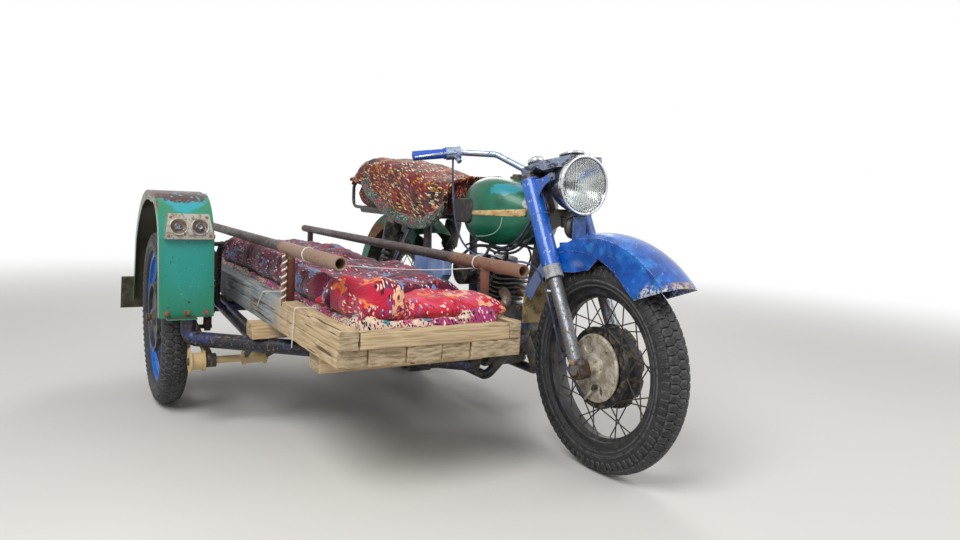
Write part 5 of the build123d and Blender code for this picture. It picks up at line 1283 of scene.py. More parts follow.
@dataclass(frozen=True)
class FloralPrint:
    """Printed cotton over wadding: flowers in clusters and leaf strokes on a plain ground.

    The print lies on the cloth's UV map, in metres of cloth. The weave is drawn coarser than the
    real thread, as coarse as it needs to show.
    """

    name: str
    ground: str
    second: str
    petals: tuple[str, str]
    heart: str
    leaves: tuple[str, str, str]
    flower_mm: float = 62.0
    flower_share: float = 0.6
    leaf_mm: float = 17.0
    leaf_share: float = 0.5
    petal_count: int = 5
    second_level: float = 0.56
    leaf_aspect: float = 2.6
    crease_mm: float = 4.5
    cluster: float = 0.0

    def build(self, shop: Shop) -> Material:
        """Make the printed cloth.

        Args:
            shop: Workshop, unused but the same for every finish.

        Returns:
            The new material.
        """
        material, tree, shader = new_material(self.name)
        flat = add_node(tree, "UVMap", uv_map="flat")
        wander = add_node(tree, "TexNoise", {"Vector": flat, "Scale": 22.0, "Detail": 2.0}, out="Color")
        centred = add_node(tree, "VectorMath", {0: wander, 1: (0.5, 0.5, 0.5)}, operation="SUBTRACT")
        pulled = add_node(tree, "VectorMath", {0: centred, 1: (0.022, 0.022, 0)}, operation="MULTIPLY")
        cloth = add_node(tree, "VectorMath", {0: flat, 1: pulled}, operation="ADD")
        areas = add_node(tree, "TexNoise", {"Vector": flat, "Scale": 6.0, "Detail": 2.0})
        band = {"Value": areas, 1: self.second_level - 0.02, 2: self.second_level + 0.02}
        ground = laid_over(tree, linear(self.ground),
                           [(add_node(tree, "MapRange", band), linear(self.second))])
        colour = ground
        for turn, seed in ((0.7, 0.0), (-0.6, 5.0), (2.1, 9.0)):
            colour = laid_over(tree, colour, [self.leaf_strokes(tree, cloth, turn, seed)])
        colour = laid_over(tree, colour, [self.flowers(tree, cloth)])
        if self.cluster:
            groups = add_node(tree, "TexNoise", {"Vector": cloth, "Scale": 9.0, "Detail": 1.0})
            plain = add_node(tree, "MapRange", {"Value": groups, 1: self.cluster, 2: self.cluster - 0.02})
            colour = laid_over(tree, colour, [(plain, ground)])
        weave = add_node(tree, "TexNoise", {"Vector": flat, "Scale": 600.0, "Detail": 1.0})
        crumple = {"Vector": flat, "Scale": 26.0, "Detail": 3.0, "Distortion": 1.2}
        relief = {0: add_node(tree, "TexNoise", crumple), 1: self.crease_mm * 2, 2: weave}
        height = add_node(tree, "Math", relief, operation="MULTIPLY_ADD")
        bump = add_node(tree, "Bump", {"Height": height, "Distance": 0.5 * MM, "Strength": 1.0})
        set_inputs(shader, {"Base Color": colour, "Roughness": 0.85, "Sheen Weight": 0.25,
                            "Sheen Roughness": 0.5, "Specular IOR Level": 0.2, "Normal": bump})
        return material

    def cells(self, tree: NodeTree, cloth: Socket, randomness: float) -> tuple[Socket, Socket, Node]:
        """Split the cloth into cells, one for each printed mark.

        Args:
            tree: Tree of the material.
            cloth: Place on the cloth, in cells.
            randomness: How far the cells stray from a grid.

        Returns:
            Distance from the cell's middle, the cell's own random number, and the node that
            splits its random colour.
        """
        cell = add_node(tree, "TexVoronoi", {"Vector": cloth, "Scale": 1.0, "Randomness": randomness},
                        voronoi_dimensions="2D")
        dice = add_node(tree, "SeparateColor", {"Color": cell.node.outputs["Color"]}, out="Red")
        return cell, dice, dice.node

    def leaf_strokes(self, tree: NodeTree, cloth: Socket, turn: float,
                     seed: float) -> tuple[Socket, Socket]:
        """Draw one set of leaf strokes that lean the same way.

        Args:
            tree: Tree of the material.
            cloth: Place on the cloth.
            turn: Lean of the strokes, in radians.
            seed: Shift of the set.

        Returns:
            Mask and colour of the strokes.
        """
        scale = 1000 / self.leaf_mm
        lean = {"Vector": cloth, "Rotation": (0, 0, turn), "Scale": (scale, scale * self.leaf_aspect, 1),
                "Location": (seed, seed, 0)}
        cell, pick, dice = self.cells(tree, add_node(tree, "Mapping", lean), 0.9)
        stroke = add_node(tree, "MapRange", {"Value": cell, 1: 0.34, 2: 0.28})
        shown = add_node(tree, "Math", {0: dice.outputs["Green"], 1: self.leaf_share},
                         operation="LESS_THAN")
        mask = add_node(tree, "Math", {0: stroke, 1: shown}, operation="MULTIPLY")
        first, second, third = (linear(leaf) for leaf in self.leaves)
        layers = [(add_node(tree, "Math", {0: pick, 1: share}, operation="LESS_THAN"), leaf)
                  for share, leaf in ((0.68, second), (0.46, first))]
        return mask, laid_over(tree, third, layers)

    def flowers(self, tree: NodeTree, cloth: Socket) -> tuple[Socket, Socket]:
        """Draw the flowers: petals round a heart in some of the cells.

        Args:
            tree: Tree of the material.
            cloth: Place on the cloth.

        Returns:
            Mask and colour of the flowers.
        """
        scale = 1000 / self.flower_mm
        spread = add_node(tree, "VectorMath", {0: cloth, 1: (scale, scale, 0)}, operation="MULTIPLY")
        cell, pick, dice = self.cells(tree, spread, 0.8)
        apart = add_node(tree, "VectorMath", {0: spread, 1: cell.node.outputs["Position"]},
                         operation="SUBTRACT")
        split = add_node(tree, "SeparateXYZ", {"Vector": apart}, out="X")
        turn = add_node(tree, "Math", {0: split.node.outputs["Y"], 1: split}, operation="ARCTAN2")
        beats = add_node(tree, "Math", {0: turn, 1: float(self.petal_count)}, operation="MULTIPLY")
        wave = add_node(tree, "Math", {0: beats}, operation="COSINE")
        rim = add_node(tree, "Math", {0: wave, 1: 0.1, 2: 0.33}, operation="MULTIPLY_ADD")
        inside = add_node(tree, "Math", {0: cell, 1: rim}, operation="LESS_THAN")
        shown = add_node(tree, "Math", {0: pick, 1: self.flower_share}, operation="LESS_THAN")
        mask = add_node(tree, "Math", {0: inside, 1: shown}, operation="MULTIPLY")
        kind = add_node(tree, "Math", {0: dice.outputs["Blue"], 1: 0.5}, operation="LESS_THAN")
        spiral = add_node(tree, "Math", {0: cell, 1: 38.0, 2: turn}, operation="MULTIPLY_ADD")
        folds = add_node(tree, "Math", {0: spiral}, operation="SINE")
        shadow = add_node(tree, "MapRange", {"Value": folds, 1: 0.3, 2: 0.95, 4: 0.45})
        core = add_node(tree, "MapRange", {"Value": cell, 1: 0.1, 2: 0.06})
        petal, other = (linear(petal) for petal in self.petals)
        heart = linear(self.heart)
        return mask, laid_over(tree, petal, [(kind, other), (shadow, heart), (core, heart)])


# Sawn softwood: honey-brown in front, grey behind, partly weathered and partly painted bluish shade.
BED_WOOD = WeatheredWood("weathered_softwood", "#cbb592", "#a98f6e")
BEARER_WOOD = WeatheredWood("sawn_bearer_softwood", "#cdb592", "#b2946c", grey_and_shade_behind=300.0)
# Printed cottons over wadding: matt and soft, flowers and leaf strokes on a strong ground.
BLANKET_PRINT = FloralPrint(
    "leaf_printed_cotton", "#6b0d18", "#1f0f0d", ("#a01a22", "#5d0f18"), "#1d120f",
    ("#c9891f", "#e2d8c0", "#8e1620"), flower_mm=64, flower_share=0.16, leaf_mm=40, leaf_share=0.42,
    leaf_aspect=4.6, second_level=0.54,
)
BORDER_PRINT = FloralPrint(
    "grey_flowered_border_cotton", "#46564f", "#323f3b", ("#b8505c", "#9c3640"), "#5e1a28",
    ("#9aa89a", "#20302a", "#5e8a72"), flower_mm=38, flower_share=0.42, leaf_mm=20, leaf_share=0.5,
)
MAROON_PRINT = FloralPrint(
    "maroon_flowered_cotton", "#4f0a28", "#6a0f33", ("#6f8cc0", "#a8243e"), "#1f2d63",
    ("#b21f34", "#c3cde2", "#141a3a"), flower_mm=60, flower_share=0.6, leaf_mm=24, leaf_share=0.5,
    leaf_aspect=3.2, crease_mm=8.0, cluster=0.47,
)
RED_PRINT = FloralPrint(
    "rose_printed_cotton", "#c4243c", "#d6485e", ("#ea7038", "#f0b48e"), "#8e1c34",
    ("#f2c9b4", "#4a6cae", "#8e1230"), flower_mm=84, flower_share=0.6, leaf_mm=24, leaf_share=0.34,
    leaf_aspect=3.0, crease_mm=7.0, cluster=0.46,
)
CREAM_PRINT = FloralPrint(
    "cream_and_pink_cotton", "#d8bfa6", "#b03a72", ("#3a98a3", "#c8557f"), "#1d1a22",
    ("#1c1a20", "#ead6c0", "#7c2f6c"), flower_mm=38, flower_share=0.5, leaf_mm=20, leaf_share=0.42,
    second_level=0.52, crease_mm=6.0,
)
ROSE_PRINT = FloralPrint(
    "orange_rose_printed_cotton", "#b41c38", "#7a1034", ("#ea7434", "#efbb94"), "#7c1430",
    ("#e9cdb8", "#26509e", "#3a1020"), flower_mm=72, flower_share=0.7, leaf_mm=24, leaf_share=0.36,
    leaf_aspect=3.0, crease_mm=7.0, cluster=0.38,
)
SEAT_PRINT = FloralPrint(
    "red_patterned_seat_cotton", "#5e1018", "#33090f", ("#8f2a24", "#6e1622"), "#1d0c10",
    ("#b05a30", "#a8a097", "#1a1214"), flower_mm=40, flower_share=0.35, leaf_mm=22, leaf_share=0.5,
    leaf_aspect=3.5,
)


@dataclass
class Studio:
    """Pale floor, soft lamps and the camera at the photograph's viewing angle."""

    shop: Shop
    eye: Point = (3005.0, -1445.5, 821.1)
    yaw: float = 148.4636
    pitch: float = -5.8759
    roll: float = -2.6354
    lens_mm: float = 26.53
    floor_half: float = 30.0
    white_from: float = 2.2
    white_at: float = 6.5
    sky_level: float = 0.42
    key_watts: float = 120.0

    def build(self) -> None:
        """Make the camera, the floor, the lamps and the world."""
        self.add_camera()
        self.add_floor()
        self.add_lamp("key_softbox", (2600, -2600, 3300), (700, -500, 400), 2.2, self.key_watts)
        self.add_lamp("fill_softbox", (3200, 1800, 2200), (900, 0, 500), 2.6, 30.0)
        self.add_lamp("rim_softbox", (-2300, 1500, 2600), (300, -300, 500), 2.2, 60.0)
        self.add_world()
        bpy.context.scene.view_settings.view_transform = "Standard"

    def add_camera(self) -> None:
        """Set the camera where the photograph was taken from."""
        yaw, pitch, roll = (math.radians(a) for a in (self.yaw, self.pitch, self.roll))
        ahead = Vector((math.cos(yaw) * math.cos(pitch), math.sin(yaw) * math.cos(pitch), math.sin(pitch)))
        level = ahead.cross(Vector((0, 0, 1))).normalized()
        below = ahead.cross(level)
        right = level * math.cos(roll) + below * math.sin(roll)
        down = below * math.cos(roll) - level * math.sin(roll)
        camera = bpy.data.objects.new("camera", bpy.data.cameras.new("camera"))
        camera.data.lens = self.lens_mm
        camera.data.sensor_width = 36.0
        turn = Matrix((right, -down, -ahead)).transposed().to_4x4()
        camera.matrix_world = Matrix.Translation(self.shop.at(*self.eye)) @ turn
        bpy.context.scene.collection.objects.link(camera)
        bpy.context.scene.camera = camera

    def add_floor(self) -> None:
        """Lay a floor that keeps the shadow near the object and is white far away."""
        signs = ((-1, -1), (1, -1), (1, 1), (-1, 1))
        corners = [Vector((x * self.floor_half, y * self.floor_half, 0.0)) for x, y in signs]
        data = make_mesh("studio_floor", corners, [(0, 1, 2, 3)])
        if data.polygons[0].normal.z < 0:
            data.flip_normals()
        material, tree, shader = new_material("pale_studio_paper")
        set_inputs(shader, {"Base Color": linear("#d8d6d2"), "Roughness": 0.9, "Specular IOR Level": 0.1})
        where = add_node(tree, "NewGeometry", out="Position")
        reach = add_node(tree, "VectorMath", {0: where}, out="Value", operation="LENGTH")
        fade = {"Value": reach, 1: self.white_from, 2: self.white_at}
        far = add_node(tree, "MapRange", fade, interpolation_type="SMOOTHSTEP")
        share = add_node(tree, "Math", {0: far, 1: self.seen(tree)}, operation="MULTIPLY")
        white = add_node(tree, "Emission")
        mix = add_node(tree, "MixShader", {0: share, 1: shader.outputs[0], 2: white})
        set_inputs(next(n for n in tree.nodes if n.type == "OUTPUT_MATERIAL"), {"Surface": mix})
        data.materials.append(material)
        floor = bpy.data.objects.new("studio_floor", data)
        bpy.context.scene.collection.objects.link(floor)
        floor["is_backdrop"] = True

    def seen(self, tree: NodeTree) -> Socket:
        """Give 1 where the camera, a reflection or glass shows the background.

        Args:
            tree: Tree of the material or the world.

        Returns:
            Socket from 0, lighting only, to 1, seen.
        """
        path = add_node(tree, "LightPath").node.outputs
        seen = path["Is Camera Ray"]
        for ray in ("Is Glossy Ray", "Is Transmission Ray"):
            seen = add_node(tree, "Math", {0: seen, 1: path[ray]}, operation="MAXIMUM")
        return seen

    def add_lamp(self, name: str, place: Point, target: Point, size: float, watts: float) -> None:
        """Hang a soft area lamp that looks at a point.

        Args:
            name: Name of the lamp.
            place: Where it hangs, in the drawing.
            target: Point that it looks at.
            size: Diameter in metres.
            watts: Power of the lamp.
        """
        data = bpy.data.lights.new(name, "AREA")
        data.shape = "DISK"
        data.size = size
        data.energy = watts
        lamp = bpy.data.objects.new(name, data)
        start, end = self.shop.at(*place), self.shop.at(*target)
        look = (end - start).to_track_quat("-Z", "Y").to_matrix().to_4x4()
        lamp.matrix_world = Matrix.Translation(start) @ look
        bpy.context.scene.collection.objects.link(lamp)

    def add_world(self) -> None:
        """Give an even sky: white where it is seen, softer where it lights."""
        world = bpy.data.worlds.new("studio_sky")
        bpy.context.scene.world = world
        world.use_nodes = True
        tree = world.node_tree
        tree.nodes.clear()
        level = add_node(tree, "MapRange", {"Value": self.seen(tree), 3: self.sky_level, 4: 1.0})
        sky = add_node(tree, "Background", {"Color": (1, 1, 1, 1), "Strength": level})
        set_inputs(tree.nodes.new("ShaderNodeOutputWorld"), {"Surface": sky})


@dataclass
class BrakeCable:
    """Front brake cable: it hangs in a bow from the right lever and runs down to the drum."""

    shop: Shop
    diameter: float = 7.0
    length_m: float = 1.04
    route: tuple[Point, ...] = (
        (871, -264.4, 952), (872, -263.4, 887), (878, -259.4, 800), (892, -255.4, 725), (923, -246.4, 666),
        (972, -226.4, 628), (1032, -200.4, 610), (1095, -173.4, 615), (1146, -143.4, 623),
        (1176, -106.4, 603), (1205, -89, 534.5), (1240, -88, 462.5), (1263, -81, 392.5), (1284, -70, 328.5),
        (1322, -58, 273.5), (1378, -54, 229.5),
    )

    def build(self) -> None:
        """Run the cable's sheath along its route."""
        curve = bpy.data.curves.new("front_brake_cable", "CURVE")
        curve.dimensions = "3D"
        curve.bevel_depth = self.diameter / 2 * MM
        curve.bevel_resolution = 3
        curve.resolution_u = 10
        curve.use_fill_caps = True
        spline = curve.splines.new("NURBS")
        spline.points.add(len(self.route) - 1)
        for point, place in zip(spline.points, self.route):
            point.co = (*self.shop.at(*place), 1.0)
        spline.order_u = 3
        spline.use_endpoint_u = True
        curve.materials.append(self.shop.material(CABLE_BLUE))
        piece = bpy.data.objects.new("front_brake_cable", curve)
        bpy.context.scene.collection.objects.link(piece)
        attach(piece, "steering")
        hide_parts("brake_cable")
        self.shop.dress(CABLE_BLUE, "brake_cable")
        tuple(self.shop.at(*self.route[0]))


@dataclass
class Tyres:
    """Three block-treaded tyres: a carcass and one row of blocks repeated round it."""

    shop: Shop
    radius: float = 322.5
    shoulder: tuple[float, float] = (38.5, 307.5)
    flank: tuple[float, float] = (47.3, 281.5)
    rows: int = 76
    groove: float = 9.0
    gap: float = 3.4
    hex_half: float = 18.0
    column: float = 27.0
    carcass: Pairs = (
        (314.5, 0), (313, 14), (308.5, 27), (301, 36.5), (291, 41.5), (281, 44.5), (271, 44.8), (266, 44),
        (265, 45.6), (262, 45.4), (261, 43.4), (252, 40), (250, 41), (247, 39.6), (246, 36), (243, 30.5),
        (236, 27), (229, 25.5),
    )

    def build(self) -> None:
        """Make the tyres in place of the plain ones."""
        outline = [*self.carcass[::-1], *[(radius, -along) for radius, along in self.carcass[1:]]]
        tree = repeat_tree("tyre_rows", round_axis=True)
        for wheel, centre in WHEEL_CENTRES.items():
            host = turned("tyre_carcass", outline, Vector(), Vector((0, 1, 0)), 120)
            row = self.tread_row()
            finish = self.shop.material(TYRE_RUBBER)
            values = {"Count": self.rows, "Centre": self.shop.at(*centre), "Finish": finish}
            data = repeated(f"{wheel}_tyre_tread", tree, host, row, values)
            self.shop.place(f"{wheel}_tyre_tread", data, TYRE_RUBBER, f"{wheel}_wheel", "tyre",
                            [f"{wheel}_tyre"])

    def skin(self, across: float, depth: float) -> tuple[float, float]:
        """Give radius and Y of a place on the tread, from its way across and its depth, in millimetres.

        Args:
            across: Way across the tread from its middle.
            depth: Depth below the tread.

        Returns:
            Radius and Y of the place.
        """
        side = math.copysign(1.0, across)
        reach = abs(across)
        wide, low = self.shoulder
        if reach <= wide + 2:
            y = reach * wide / (wide + 2)
            return self.radius - (self.radius - low) * (y / wide) ** 2 - depth, side * y
        share = (reach - wide - 2) / 28
        y = wide + (self.flank[0] - wide) * share
        return low - (low - self.flank[1]) * share - depth * 0.3, side * (y - depth * 0.75)

    def tread_row(self) -> Mesh:
        """Make one row: three hexagon blocks and a bar down each shoulder, at the top of the wheel.

        Returns:
            Mesh of the row.
        """
        pitch = math.tau * self.radius / self.rows
        high = (pitch - self.gap) / 2
        half = self.hex_half - self.gap / 2
        slope = half / 2
        middle = [(-half, 0), (-slope, high), (slope, high), (half, 0), (slope, -high), (-slope, -high)]
        points: list[Vector] = []
        faces: list[tuple[int, ...]] = []
        for side in (-1, 0, 1):
            if side:
                outer = [(-half, 0), (-slope, high), (slope + 2, high), (half - 2, high * 0.4),
                         (half - 2, -high * 0.4), (slope + 2, -high), (-slope, -high)]
                block = [(side * (self.column + v), u + pitch / 2) for v, u in outer]
                bar = [(side * 44.5, 6.6), (side * 54, 6.2), (side * 67, 5.0), (side * 67, -5.0),
                       (side * 54, -6.2), (side * 44.5, -6.6)]
                self.add_block(points, faces, bar, 7.5)
            else:
                block = middle
            self.add_block(points, faces, block, self.groove)
        return make_mesh("tread_row", points, faces)

    def add_block(self, points: list[Vector], faces: list, block: list[tuple[float, float]],
                  deep: float) -> None:
        """Add one chamfered block given by its corners across and round the tyre.

        Args:
            points: Corners so far, which grow.
            faces: Faces so far, which grow.
            block: Corners of the block, across and round the tyre.
            deep: Depth of the groove beside it.
        """
        start = len(points)
        size = len(block)
        mid_v = sum(v for v, _ in block) / size
        mid_u = sum(u for _, u in block) / size
        for shrink, depth in ((0.88, 0.0), (1.0, 1.1), (1.06, deep)):
            for v, u in block:
                radius, y = self.skin(mid_v + (v - mid_v) * shrink, depth)
                turn = (mid_u + (u - mid_u) * shrink) / self.radius
                points.append(Vector((math.sin(turn) * radius, y, math.cos(turn) * radius)) * MM)
        faces.append(tuple(start + k for k in range(size)))
        for ring in range(2):
            for k in range(size):
                a, b = start + ring * size + k, start + ring * size + (k + 1) % size
                faces.append((a, b, b + size, a + size))


@dataclass
class Headlamp:
    """Lamp bowl, silvered reflector, bulb, fluted glass and chromed ring."""

    shop: Shop
    centre: Point = (1258.0, 0.0, 873.0)
    bowl: Pairs = (
        (0, -128), (22, -126.5), (40, -120), (57, -106), (70, -88), (80, -66), (88, -40), (91, -22),
        (91.5, -12), (87, -12), (84, -40), (66, -86), (38, -115), (0, -123),
    )
    ring: Pairs = (
        (91.5, -15), (95, -14.5), (96, -13), (94.5, -9), (95.2, -5), (95.2, 0), (93.5, 2), (90, 2.6),
        (86.8, 1.5), (85.8, -0.5), (86, -8), (89, -15),
    )
    mirror: Pairs = ((84, -7), (80, -11), (70, -20), (56, -33), (40, -46), (24, -56), (12, -60))
    bulb: Pairs = ((0, -22), (5, -24), (8.5, -29), (8.5, -38), (6, -44), (6, -62))
    glass_dome: float = 13.0

    def build(self) -> None:
        """Make the lamp's pieces in place of the plain ones."""
        place = self.shop.at(*self.centre)
        axis = Vector((1, 0, 0))
        glass = [(r, self.glass_dome * (1 - (r / 86) ** 2)) for r in (0, 20, 40, 58, 72, 81, 85.8)]
        glass += [(r, along - 3.2) for r, along in glass[::-1]]
        for name, outline, finish, slot, replaces in (
            ("lamp_bowl", self.bowl, LAMP_DARK, "lamp_paint", ["headlamp_shell"]),
            ("lamp_ring", self.ring, RING_CHROME, "old_chrome", []),
            ("lamp_mirror", self.thick(self.mirror, 1.2), REFLECTOR, "old_chrome", []),
            ("lamp_bulb", self.bulb, REFLECTOR, "glass", []),
            ("lamp_glass", glass, LAMP_GLASS, "glass", ["headlamp_lens"]),
        ):
            data = turned(name, outline, place, axis, 72, closed=name != "lamp_bulb")
            self.shop.place(name, data, finish, "steering", slot, replaces)

    def thick(self, outline: Pairs, wall: float) -> list[tuple[float, float]]:
        """Give a thin turned sheet its wall, in millimetres."""
        return [*outline, *[(radius + 0.3, along - wall) for radius, along in reversed(outline)]]


class Dresser:
    """Gives the solids that keep their shape the finish of the real surface."""

    def __init__(self, shop: Shop) -> None:
        """Keep the workshop."""
        self.shop = shop

    def build(self) -> None:
        """Dress every solid; the ones that finer pieces stand for are hidden later."""
        dress = self.shop.dress
        dress(GUARD_BLUE, "front_mudguard")
        dress(FORK_BLUE, "fork_shrouds")
        dress(SLIDER_STEEL, "fork_sliders")
        dress(NACELLE_GREY, "nacelle")
        dress(LAMP_DARK, "headlamp_shell")
        dress(RING_CHROME, "headlamp_lens")
        dress(SKY_PAINTED_CHROME, "handlebar")
        dress(GRIP_BLUE, "grip_right", "grip_left")
        dress(BLACK_STEEL, "steering_stem", "horn", "centre_stand", "swingarm", "rear_rack", "tank_cap")
        dress(BLACK_STEEL, "rear_shock_left", "rear_shock_right")
        dress(CAST_ALLOY, "front_brake_plate")
        dress(ENGINE_ALLOY, "engine", "cylinder", "carburettor")
        dress(EXHAUST_STEEL, "exhaust_left", "exhaust_right")
        dress(PLAIN_STEEL, "front_axle", "rear_axle")
        dress(FRAME_PAINT, "main_frame", "chain_case")
        dress(TANK_GREEN, "fuel_tank")
        dress(PAD_RUBBER, "knee_pad_left", "knee_pad_right")
        dress(PANEL_BLUE, "side_panel_left", "side_panel_right")
        dress(REAR_GUARD_PAINT, "rear_mudguard")
        dress(LAMP_RED, "tail_lamp")
        dress(CHASSIS_PAINT, "sidecar_frame")
        dress(ARM_STEEL, "sidecar_arm")
        dress(SHOCK_MAROON, "sidecar_shock")
        dress(SIDECAR_GREEN, "sidecar_mudguard")
        dress(GUARD_RUBBER, "sidecar_mud_flap")
        dress(TAN_RUBBER, "front_mud_flap")
        dress(PLATE_ALLOY, "sidecar_lamp_plate")
        dress(RAIL_RUST, "bed_rail_left", "bed_rail_right")
        dress(TYRE_RUBBER, "front_tyre", "rear_tyre", "sidecar_tyre")
        dress(wheel_finish("dusty_black_wheel", "#1c1d22", "#3b3733", "#17181a", AXLE_FRONT, 0.2),
              "front_spoked_wheel")
        dress(wheel_finish("oily_rear_wheel", "#3b3c40", "#6f675c", "#2a2a2b", AXLE_REAR, 0.7),
              "rear_spoked_wheel")
        dress(wheel_finish("bright_blue_wheel", "#0f72da", "#5d5a55", "#35383e", AXLE_SIDECAR, 0.3),
              "sidecar_spoked_wheel")


@dataclass(frozen=True)
class Board:
    """One sawn board: its box in the drawing, which way its grain runs and how worn it is."""

    name: str
    low: Point
    high: Point
    along: int
    wear: float = 1.0
    on_bed: bool = True


@dataclass
class LoadBed:
    """Planks, cross timbers and border of the bed as separate worn boards."""

    shop: Shop
    planks: Pairs = ((82, 16), (102, 10), (99, 4), (86, 7), (157, 0))
    plank_gap: float = 2.0
    floor_z: tuple[float, float] = (385.3, 432.3)
    bearer_z: tuple[float, float] = (335.3, 385.0)
    step: float = 14.0

    def build(self) -> None:
        """Make the boards in place of the plain blocks."""
        self.shop.dress(BED_WOOD, "bed_floor", "bed_bearers", "bed_border")
        floor = []
        y = 0.0
        for number, (width, trim) in enumerate(self.planks):
            floor.append(Board(f"plank_{number}", (-1900, y, self.floor_z[0]),
                               (-trim, y + width, self.floor_z[1]), 0))
            y += width + self.plank_gap
        top = self.floor_z[1]
        border = [
            Board("right_beam", (-1900, 0, top), (0, 54, 482.3), 0, 1.3),
            Board("left_beam", (-1900, 497, top), (0, 534, 482.3), 0),
            Board("front_board", (-34, 54.5, top), (0, 496.5, 478.3), 1, 1.3),
            Board("rear_board", (-1900, 54.5, top), (-1866, 496.5, 478.3), 1),
        ]
        low, high = self.bearer_z
        bearers = [
            Board("front_bearer", (1135, -840, low), (1225, -328, high), 1, on_bed=False),
            Board("middle_bearer", (660, -896, low), (740, -328, high), 1, 1.2, on_bed=False),
            Board("rear_bearer", (-170, -810, low), (-70, -328, high), 1, on_bed=False),
        ]
        for name, boards, finish in (("bed_floor", floor, BED_WOOD), ("bed_border", border, BED_WOOD),
                                     ("bed_bearers", bearers, BEARER_WOOD)):
            sawn = [self.board(board, number) for number, board in enumerate(boards)]
            data = join_meshes(f"{name}_boards", sawn)
            self.shop.place(f"{name}_boards", data, finish, "chassis", "weathered_wood", [name])

    def board(self, board: Board, number: int) -> Mesh:
        """Make one board as a fine grid on each face, worn at its corners and edges.

        Args:
            board: Its box, grain and wear.
            number: Place in its row, which shifts its grain.

        Returns:
            Mesh with the UV map "flat" and the end grain's mask.
        """
        build = bmesh.new()
        bmesh.ops.create_cube(build, size=1.0)
        middle = [(a + b) / 2 for a, b in zip(board.low, board.high)]
        size = [b - a for a, b in zip(board.low, board.high)]
        for corner in build.verts:
            corner.co = Vector([m + c * s for m, c, s in zip(middle, corner.co, size)])
        bmesh.ops.bevel(build, geom=build.edges[:], offset=3.0, segments=2, profile=0.6, affect="EDGES")
        along = board.along
        for axis in range(3):
            reach = self.step if axis != along else self.step * 2.2
            cuts = int(size[axis] / reach)
            for cut in range(1, cuts):
                at = board.low[axis] + size[axis] * cut / cuts
                way = Vector([1.0 if k == axis else 0.0 for k in range(3)])
                place = Vector([at if k == axis else 0.0 for k in range(3)])
                everything = [*build.verts, *build.edges, *build.faces]
                bmesh.ops.bisect_plane(build, geom=everything, plane_co=place,
                                       plane_no=way)
        self.wear(build, board, middle, size)
        end_layer = build.faces.layers.float.new("end_grain_face")
        for face in build.faces:
            face[end_layer] = 1.0 if abs(face.normal[along]) > 0.8 else 0.0
        uv = build.loops.layers.uv.new("flat")
        for face in build.faces:
            flat_axis = max((k for k in range(3) if k != along), key=lambda k: abs(face.normal[k]))
            across = 3 - along - flat_axis
            for loop in face.loops:
                place = loop.vert.co
                loop[uv].uv = ((place[along] + number * 733) * MM,
                               (place[across] + flat_axis * 311 + number * 97) * MM)
        for corner in build.verts:
            place = bed_point(*corner.co) if board.on_bed else corner.co
            corner.co = self.shop.at(*place)
        data = bpy.data.meshes.new(board.name)
        ends = [face[end_layer] for face in build.faces]
        build.to_mesh(data)
        build.free()
        data.attributes.remove(data.attributes["end_grain_face"])
        mask = data.attributes.new("end_grain", "FLOAT", "FACE")
        mask.data.foreach_set("value", ends)
        return data

    def wear(self, build: bmesh.types.BMesh, board: Board, middle: Sequence[float],
             size: Sequence[float]) -> None:
        """Push a board's skin in along the grain, most at its edges and its ends.

        Args:
            build: Board under work, in drawing millimetres.
            board: Its box, grain and wear.
            middle: Middle of the box.
            size: Size of the box.
        """
        along = board.along
        build.normal_update()
        for corner in build.verts:
            place = corner.co.copy()
            edge_near = min(size[k] / 2 - abs(place[k] - middle[k]) for k in range(3) if k != along)
            stretched = Vector([place[k] * (0.006 if k == along else 0.05) for k in range(3)])
            ridge = noise.noise(stretched + Vector((7.0, 3.0, 1.0)))
            chip = max(0.0, noise.noise(place * 0.045) - 0.12)
            sharp = sum(1 for k in range(3) if size[k] / 2 - abs(place[k] - middle[k]) < 4.0)
            deep = 0.5 + 0.9 * ridge + (9.0 * chip * board.wear if sharp >= 2 else 1.2 * chip)
            end_near = size[along] / 2 - abs(place[along] - middle[along])
            if end_near < 2.0:
                saw = noise.noise(Vector([place[k] * (0.0 if k == along else 0.09) for k in range(3)]))
                deep += 1.6 * abs(saw)
            corner.co = place - corner.normal * max(deep, 0.05)
            if edge_near < 0:
                corner.co = place


@dataclass(frozen=True)
class Rail:
    """One rail of water pipe: where it runs, and where its sleeve starts and its posts stand."""

    name: str
    y: float
    z: float
    rear: float
    front: float
    sleeve: float
    posts: tuple[float, float]


